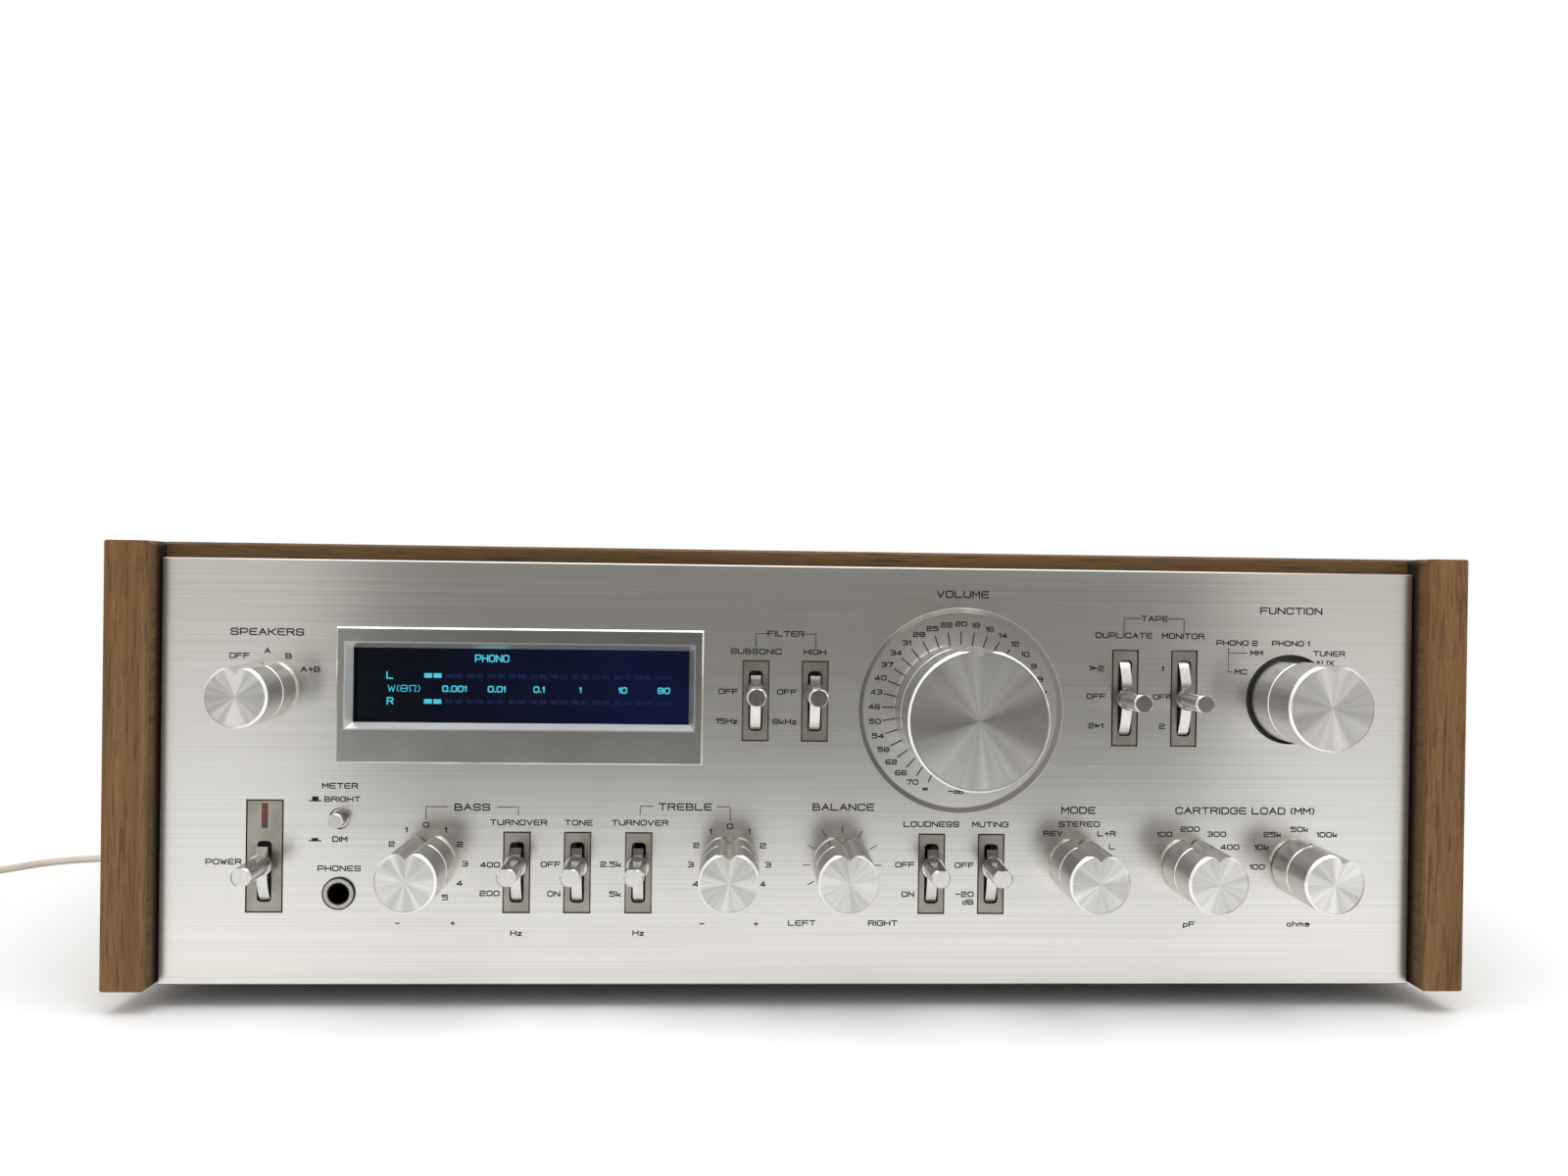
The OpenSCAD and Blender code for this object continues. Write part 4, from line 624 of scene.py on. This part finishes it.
# The display glass glows blue, more towards its right and in clouds: a painted reflection in its colour and
# emission.
tube_blue_reflection = tube_right * (0.6 + 0.4 * tube_cloud)
feed(tube_shader, Base_Color=tube_blue_reflection.mix(rgb(0.002, 0.003, 0.008), rgb(0.004, 0.008, 0.03)))
feed(tube_shader, Emission_Color=tube_blue_reflection.mix(rgb(0.0003, 0.0015, 0.006), rgb(0.0012, 0.007, 0.052)))
tube_shader.inputs["Emission Strength"].default_value = 1.0
dress("display_tube", tube)
tube_front = (face_low.y - tube_low.y) / mm


def glowing(name, colour, strength):
    material, shader, place = new_finish(name, rgb(0.0, 0.0, 0.0), 0.4)
    flicker = place.noise(1500, 1).eased(0.2, 0.9)
    dimmer = tuple(0.75 * part for part in colour[:3]) + (1.0,)
    feed(shader, Emission_Color=flicker.mix(dimmer, colour))
    shader.inputs["Emission Strength"].default_value = strength
    return material


lit = glowing("lit_phosphor", rgb(0.11, 0.8, 0.92), 1.6)
# The unlit bars are given a faint blue emission: painted glow.
faint_glow = glowing("faint_glow_phosphor", rgb(0.008, 0.016, 0.085), 1.0)
legend_z = 97.8
legend_lift = 0.06
legend_line = 0.44
thin_line = 0.25
legend = [
    ("PHONO", -103.2, 108.1, 2.1, 0.82, legend_line), ("L", -137.0, 102.2, 2.1, 0.88, legend_line),
    ("R", -136.8, 93.6, 2.1, 0.88, legend_line), ("W", -136.4, legend_z, 2.0, 1.1, thin_line),
    ("(8Ω)", -130.8, legend_z, 2.0, 1.05, thin_line)
]
watts = {"0.001": -115.6, "0.01": -101.6, "0.1": -87.5, "1": -73.7, "10": -59.5, "80": -45.7}
for text, x in watts.items():
    legend.append((text, x, legend_z, 1.75, 0.92, legend_line))
legend_strokes = []
for text, x, z, height, stretch, line_w in legend:
    legend_strokes += [(stroke, line_w) for stroke in word(text, x, z, height, stretch=stretch)]
bar_x = -125.6
bar_step = 7.0
bar_w = 2.6
bar_gap = 0.5
bar_h = 1.55
bar_pairs = 12
bar_rows = (102.2, 93.5)
dim_strokes = []
for bar in range(bar_pairs):
    for half in (0, 1):
        start = bar_x + bar * bar_step + half * (bar_w + bar_gap)
        for z in bar_rows:
            segment = ([(start, z), (start + bar_w, z)], bar_h)
            (legend_strokes if bar == 0 else dim_strokes).append(segment)
flat_print("display_legend", legend_strokes, tube_front + legend_lift, lit)
flat_print("display_bars", dim_strokes, tube_front + legend_lift, faint_glow)
board, board_shader, board_place = new_finish("circuit_board", rgb(0.03, 0.12, 0.05), 0.45)
copper = board_place.stretched((260.0, 260.0, 260.0)).noise(1.0, 1).eased(0.48, 0.52)
feed(board_shader, Base_Color=copper.mix(rgb(0.02, 0.09, 0.04), rgb(0.05, 0.17, 0.07)))
dress("display_board", board)
dress("circuit_boards", board)

# Switch plates
# Thin warm grey plates set into the faceplate, each with a slot for its lever, and a taller one with the lens
# of the power lamp.
plate, plate_shader, plate_place = new_finish("switch_plate", rgb(0.36, 0.335, 0.295), 0.38, 0.85)
plate_grain = plate_place.noise(1400, 3)
plate_cloud = plate_place.noise(160, 3).eased(0.3, 0.75)
feed(plate_shader, Base_Color=plate_cloud.mix(rgb(0.32, 0.295, 0.255), rgb(0.41, 0.385, 0.34)))
feed(plate_shader, Roughness=0.32 + 0.12 * plate_grain, Normal=bump(plate_grain, 0.1, 0.00004))
dress("switch_plates", plate)
dress("power_plate", plate)
lens, lens_shader, lens_place = new_finish("indicator_lens", rgb(0.16, 0.035, 0.015), 0.2)
lens_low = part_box("power_lens")[0]
lens_top = lens_place.part(2).eased(lens_low.z + 2.0 * mm, lens_low.z + 2.6 * mm)
lens_red = lens_place.noise(700, 2).eased(0.3, 0.7).mix(rgb(0.1, 0.016, 0.007), rgb(0.17, 0.036, 0.015))
feed(lens_shader, Base_Color=lens_top.mix(rgb(0.05, 0.035, 0.028), lens_red))
dress("power_lens", lens)

# Knobs
# Turned from aluminium bar: a spun front with fine lathe rings, a chamfered edge with a painted highlight, a
# ring cut round the middle, fine lines along the side, and a flat with a pointer groove along the top. Each
# is fixed on its shaft.
turned, turned_shader, turned_place = new_finish("knob_aluminium", rgb(0.68, 0.67, 0.64), 0.3, 1.0)
turned_lines = turned_place.stretched((900.0, 60.0, 900.0)).noise(1.0, 2)
spun_map = turned_place.node("UVMap", {"uv_map": "spun_front"}, {})
front_x = spun_map.part(0)
front_z = spun_map.part(1)
never_zero = 0.0001
from_centre = front_x * front_x + front_z * front_z + never_zero
fan_across = (front_x * front_x - front_z * front_z) / from_centre
fan_up = 2 * front_x * front_z / from_centre
own_fan = 12 * turned_place.part(0)
fan_place = spun_map.node("CombineXYZ", {}, {0: fan_across, 1: fan_up, 2: own_fan})
# The fan of highlights on the spun front is painted into its colour, brighter above and below the middle.
fan_highlight = 0.7 * fan_place.noise(1.4, 3).eased(0.3, 0.7) + 0.3 * (0.5 - 0.5 * fan_across)
on_front = 1 - (from_centre > 0.9)
front_fan_highlight = on_front.mix(rgb(0.66, 0.65, 0.625), fan_highlight.mix(rgb(0.57, 0.556, 0.526), rgb(0.95, 0.935, 0.895)))
side_lines = 0.4 * turned_lines.eased(0.3, 0.7) * (1 - on_front)
lines_and_fan_highlight = side_lines.mix(front_fan_highlight, rgb(0.5, 0.49, 0.468))
knob_facing = turned_place.facing(1)
# Faces turned half away from the front, on the chamfers and in the ring cut, are painted bright: a painted
# highlight.
cut_highlight = knob_facing.eased(0.45, 0.55) * (1 - knob_facing.eased(0.84, 0.92))
feed(turned_shader, Base_Color=cut_highlight.mix(lines_and_fan_highlight, rgb(0.93, 0.92, 0.9)))
feed(turned_shader, Roughness=0.276 + 0.02 * turned_lines)
ring_pitch = 0.5 * mm
ring_depth = 0.055 * mm
ring_points = 4
edge = 0.7 * mm
groove = 0.35 * mm
line_depth = 0.045 * mm
ring_share = 0.48
shaft_end = -25.2 * mm
shaft_r = 3 * mm
flat_depth = 1.0 * mm
notch_w = 3.6 * mm
notch_depth = 1.6 * mm
touching = 1e-6


def spun(name, profile, centre, sides):
    """Turns a profile of (radius, distance out) points round an axis that comes out of the faceplate."""
    mesh = bpy.data.meshes.new(name)
    points = [centre + Vector((radius, -out, 0)) for radius, out in profile]
    mesh.from_pydata(points, [(k, k + 1) for k in range(len(points) - 1)], [])
    piece = bpy.data.objects.new(name, mesh)
    scene.collection.objects.link(piece)
    only(piece)
    bpy.ops.object.mode_set(mode="EDIT")
    bpy.ops.mesh.select_all(action="SELECT")
    bpy.ops.mesh.spin(steps=sides, angle=math.tau, center=centre, axis=(0, 1, 0))
    bpy.ops.mesh.select_all(action="SELECT")
    bpy.ops.mesh.remove_doubles(threshold=touching)
    bpy.ops.mesh.normals_make_consistent(inside=False)
    bpy.ops.object.mode_set(mode="OBJECT")
    return piece


def turned_knob(name, x, z, diameter, base, reach, sides):
    """Knob on its shaft, from base to reach in front of the faceplate, all in millimetres."""
    centre = on_face(x, z)
    radius = diameter / 2 * mm
    start = base * mm
    front = reach * mm
    ring_at = front * ring_share
    face_r = radius - edge
    rings = round(face_r / ring_pitch)
    profile = [(0.0, shaft_end), (shaft_r, shaft_end), (shaft_r, start), (face_r, start)]
    profile += [(radius, start + edge), (radius, ring_at - groove)]
    profile += [(radius - groove, ring_at), (radius, ring_at + groove), (radius, front - edge)]
    for k in range(rings * ring_points):
        wave = 0.5 - 0.5 * math.cos(math.tau * k / ring_points)
        profile.append((face_r * (1 - k / rings / ring_points), front - wave * ring_depth))
    profile.append((0.0, front))
    knob = spun(name, profile, centre, sides)
    for vertex in knob.data.vertices:
        side = Vector((vertex.co.x - centre.x, 0, vertex.co.z - centre.z))
        if abs(side.length - radius) < touching:
            column = round(math.atan2(side.z, side.x) / math.tau * sides)
            vertex.co -= side.normalized() * line_depth * (column % 2)
    top = centre + Vector((0, 0, radius - flat_depth))
    half = notch_w / 2
    beyond = 2 * mm
    wide = radius + beyond
    high = flat_depth + beyond
    ends = (beyond - start, -front - beyond)
    left_half = [(-wide, high), (-wide, 0), (-half, 0)]
    section = left_half + [(0, -notch_depth)] + [(-dx, dz) for dx, dz in reversed(left_half)]
    corners = len(section)
    planed_off = [top + Vector((dx, y, dz)) for y in ends for dx, dz in section]
    cutter_sides = [(k, (k + 1) % corners, corners + (k + 1) % corners, corners + k) for k in range(corners)]
    cutter_sides += [tuple(range(corners)), tuple(range(corners, 2 * corners))]
    cutter_mesh = bpy.data.meshes.new("notch_cutter")
    cutter_mesh.from_pydata(planed_off, [], cutter_sides)
    cutter = bpy.data.objects.new("notch_cutter", cutter_mesh)
    scene.collection.objects.link(cutter)
    turn_faces_out(cutter)
    only(knob)
    cut = knob.modifiers.new("notch", "BOOLEAN")
    cut.object = cutter
    cut.operation = "DIFFERENCE"
    cut.solver = "EXACT"
    bpy.ops.object.modifier_apply(modifier=cut.name)
    bpy.data.objects.remove(cutter)
    bpy.ops.object.shade_smooth_by_angle(angle=math.radians(30))
    spun_front = knob.data.uv_layers.new(name="spun_front")
    for corner, place in zip(knob.data.loops, spun_front.data):
        outward = (knob.data.vertices[corner.vertex_index].co - centre) / radius
        place.uv = (outward.x, outward.z)
    return knob


def fit_knob(knob, body):
    """Puts a knob in the place of its node."""
    knob.data.materials.clear()
    knob.data.materials.append(turned)
    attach(knob, body)
    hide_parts(body)


small_knobs = {
    "speakers": (-175.6, upper_row), "bass": (bass_x, lower_row), "treble": (treble_x, lower_row),
    "balance": (balance_x, lower_row), "mode": (95.2, lower_row), "capacitance": (133.6, lower_row),
    "resistance": (171.3, lower_row)
}
resistance_turn = math.radians(18)
pattern_at = on_face(*small_knobs["speakers"])
pattern_knob = turned_knob(
    "speakers_turned_knob", *small_knobs["speakers"], diameter=19.6, base=0.8, reach=25.0, sides=216
)
for name, (x, z) in small_knobs.items():
    if name == "speakers":
        knob = pattern_knob
    else:
        knob = pattern_knob.copy()
        knob.data = pattern_knob.data.copy()
        knob.name = name + "_turned_knob"
        scene.collection.objects.link(knob)
        turn = Matrix.Rotation(resistance_turn if name == "resistance" else 0.0, 4, "Y")
        move_in = Matrix.Translation(on_face(x, z))
        knob.data.transform(move_in @ turn @ Matrix.Translation(-pattern_at))
for name in small_knobs:
    fit_knob(bpy.data.objects[name + "_turned_knob"], name + "_knob")
function_at = (167.5, upper_row)
function_knob = turned_knob(
    "function_turned_knob", *function_at, diameter=28.0, base=-1.0, reach=28.8, sides=240
)
fit_knob(function_knob, "function_knob")
volume_knob = turned_knob("volume_turned_knob", *volume_at, diameter=45.0, base=-0.8, reach=30.5, sides=320)
fit_knob(volume_knob, "volume_knob")

# Levers
# Die-cast and polished: a grip with two flats, a thin collar, and a curved shutter behind the slot.
polished, polished_shader, polished_place = new_finish("lever_aluminium", rgb(0.68, 0.67, 0.64), 0.18, 1.0)
polished_grain = polished_place.noise(1200, 2)
feed(polished_shader, Roughness=0.14 + 0.12 * polished_grain)
polished_tone = polished_grain.eased(0.3, 0.7).mix(rgb(0.62, 0.61, 0.58), rgb(0.71, 0.7, 0.67))
feed(polished_shader, Base_Color=polished_tone)
for name in nodes:
    if name.endswith("_lever"):
        dress(name, polished)

# Meter button and headphone socket
# A small turned button in its hole, and a socket with a plain steel ring.
steel, steel_shader, steel_place = new_finish("bright_steel", rgb(0.66, 0.655, 0.64), 0.25, 1.0)
steel_grain = steel_place.noise(500, 3)
feed(steel_shader, Roughness=0.2 + 0.15 * steel_grain)
feed(steel_shader, Base_Color=steel_grain.eased(0.3, 0.7).mix(rgb(0.58, 0.575, 0.56), rgb(0.68, 0.675, 0.66)))
dress("meter_button", turned)
socket_ring, socket_shader, socket_place = new_finish("socket_ring", rgb(0.5, 0.47, 0.42), 0.35, 0.85)
socket_low, socket_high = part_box("headphone_jack")
socket_dx = socket_place.part(0) - (socket_low.x + socket_high.x) / 2
socket_dz = socket_place.part(2) - (socket_low.z + socket_high.z) / 2
socket_out = from_axis(socket_dx, socket_dz)
# Near the axis and beyond 4.9 mm the ring is painted near black: painted shade in the bore and in the gap
# round the ring.
ring_between_shade = (socket_out > 3.7 * mm) * (1 - (socket_out > 4.9 * mm))
socket_wear = socket_place.noise(900, 2).eased(0.3, 0.7).mix(rgb(0.4, 0.37, 0.32), rgb(0.52, 0.49, 0.43))
feed(socket_shader, Base_Color=ring_between_shade.mix(rgb(0.02, 0.02, 0.02), socket_wear))
dress("headphone_jack", socket_ring)

# Walnut case
# Two veneered sides and a slotted top. The veneer's grain runs along each edge: upright on the fronts of the
# sides, along the length of the top, and from front to back on the outside of the sides.


def walnut(name, along, figure, inner_shade, shade=0.0):
    """Oiled walnut: figure, dark fibres and pores along the grain, painted shade on the inner faces, and an
    even painted shade.
    """
    material, shader, place = new_finish(name, rgb(0.2, 0.12, 0.06), 0.5)
    lying = place.node("CombineXYZ", {}, {0: place.part(0), 1: place.part(2), 2: place.part(1)})
    veneer = place.facing(0).eased(0.85, 0.95).mix(place, lying)
    across = place.noise(5, 2)
    bands = veneer.stretched(figure).noise(1.0, 4).eased(0.3, 0.72)
    fibres = veneer.stretched(along).noise(1.0, 3)
    flecks = veneer.stretched(tuple(2.1 * scale for scale in along)).noise(1.0, 2).eased(0.5, 0.62)
    pores = fibres.eased(0.54, 0.68)
    light_wood = bands.mix(rgb(0.134, 0.07, 0.023), rgb(0.23, 0.129, 0.048))
    warm = (0.5 * across.eased(0.3, 0.7)).mix(light_wood, rgb(0.198, 0.096, 0.032))
    specked = (0.45 * flecks).mix(warm, rgb(0.075, 0.038, 0.014))
    grained = (0.6 * pores).mix(specked, rgb(0.05, 0.026, 0.01))
    from_middle = place.math("ABSOLUTE", place.part(0))
    # Inner faces darken towards the faceplate, and shade darkens the whole piece: painted shade.
    inside = 1 - from_middle.eased(inner_edge + 0.6 * mm, inner_edge + 1.6 * mm)
    towards_plate = 0.3 + 0.7 * place.part(1).eased(face_low.y - 4.5 * mm, face_low.y - 1 * mm)
    painted_wood_shade = inner_shade * inside * towards_plate + shade
    feed(shader, Base_Color=painted_wood_shade.mix(grained, rgb(0.022, 0.013, 0.007)))
    shader.inputs["Specular IOR Level"].default_value = 0.25
    feed(shader, Roughness=0.42 + 0.2 * fibres, Normal=bump(1 - pores, 0.25, 0.0001))
    return material


inner_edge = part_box("right_side_panel")[0].x
upright_grain = walnut("walnut_upright", along=(1100.0, 1100.0, 55.0), figure=(200.0, 200.0, 8.0), inner_shade=1.0)
long_grain = walnut(
    "walnut_long", along=(55.0, 1100.0, 1100.0), figure=(8.0, 200.0, 200.0), inner_shade=0.0, shade=0.28
)
dress("left_side_panel", upright_grain)
dress("right_side_panel", upright_grain)
dress("wooden_top", long_grain)

# Chassis
# Folded steel sheet painted dark grey, with a primed sub-panel behind the faceplate, bright plated screws
# and black plastic feet.
paint, paint_shader, paint_place = new_finish("sheet_steel", rgb(0.03, 0.03, 0.032), 0.45)
paint_grain = paint_place.noise(1500, 2)
paint_cloud = paint_place.noise(12, 3).eased(0.3, 0.75)
feed(paint_shader, Base_Color=paint_cloud.mix(rgb(0.024, 0.024, 0.026), rgb(0.038, 0.038, 0.04)))
feed(paint_shader, Roughness=0.38 + 0.16 * paint_grain, Normal=bump(paint_grain, 0.3, 0.00005))
for name in ("chassis_base", "rear_panel", "top_cover"):
    dress(name, paint)
dress("feet", black_plastic)
plated_nodes = [
    "chassis_screws", "control_nuts", "lever_switches", "ground_terminal", "tone_potentiometers",
    "volume_attenuator"
]
for name in plated_nodes:
    dress(name, steel)
dress("front_subpanel", soft_plastic("grey_primer", rgb(0.42, 0.41, 0.39), rgb(0.5, 0.49, 0.47), 0.6))
dress("meter_switch", black_plastic)

# Inner pieces
# The power transformer, the filter capacitors in their blue sleeves, the black heat sinks with their
# transistors, and the switches' brown wafers.
black_metal, black_shader, black_place = new_finish("black_anodised", rgb(0.02, 0.02, 0.022), 0.4, 0.6)
feed(black_shader, Roughness=0.32 + 0.16 * black_place.noise(300, 2))
dress("heat_sinks", black_metal)
dress("power_transformer", black_metal)
dress("output_transistors", steel)
sleeve = soft_plastic("capacitor_sleeve", rgb(0.015, 0.03, 0.12), rgb(0.02, 0.04, 0.15), 0.3)
dress("filter_capacitors", sleeve)
dress("rotary_switches", soft_plastic("switch_wafer", rgb(0.14, 0.07, 0.035), rgb(0.18, 0.1, 0.05), 0.5))

# Rear connectors
# Gilded coaxial jacks, black screw strips for the loudspeakers and black mains outlets.
gilt, gilt_shader, gilt_place = new_finish("jack_brass", rgb(0.72, 0.55, 0.28), 0.25, 1.0)
gilt_grain = gilt_place.noise(400, 2)
feed(gilt_shader, Roughness=0.18 + 0.16 * gilt_grain)
gilt_tone = gilt_grain.eased(0.3, 0.7).mix(rgb(0.62, 0.46, 0.22), rgb(0.76, 0.6, 0.32))
jack_pitch = 18 * mm
jack_r = 2.6 * mm
jack_row = 42 * mm
jack_column = 190 * mm
jack_dx = gilt_place.math("PINGPONG", gilt_place.part(0) - jack_column, jack_pitch / 2)
jack_dz = gilt_place.math("PINGPONG", gilt_place.part(2) - jack_row, jack_pitch / 2)
insulator = 1 - (from_axis(jack_dx, jack_dz) > jack_r)
upper_jack = gilt_place.part(2) > jack_row + jack_pitch / 2
insulator_tone = upper_jack.mix(rgb(0.4, 0.02, 0.015), rgb(0.65, 0.64, 0.6))
feed(gilt_shader, Base_Color=insulator.mix(gilt_tone, insulator_tone), Metallic=1 - insulator)
dress("input_jacks", gilt)
dress("speaker_terminals", black_plastic)
dress("mains_outlets", black_plastic)
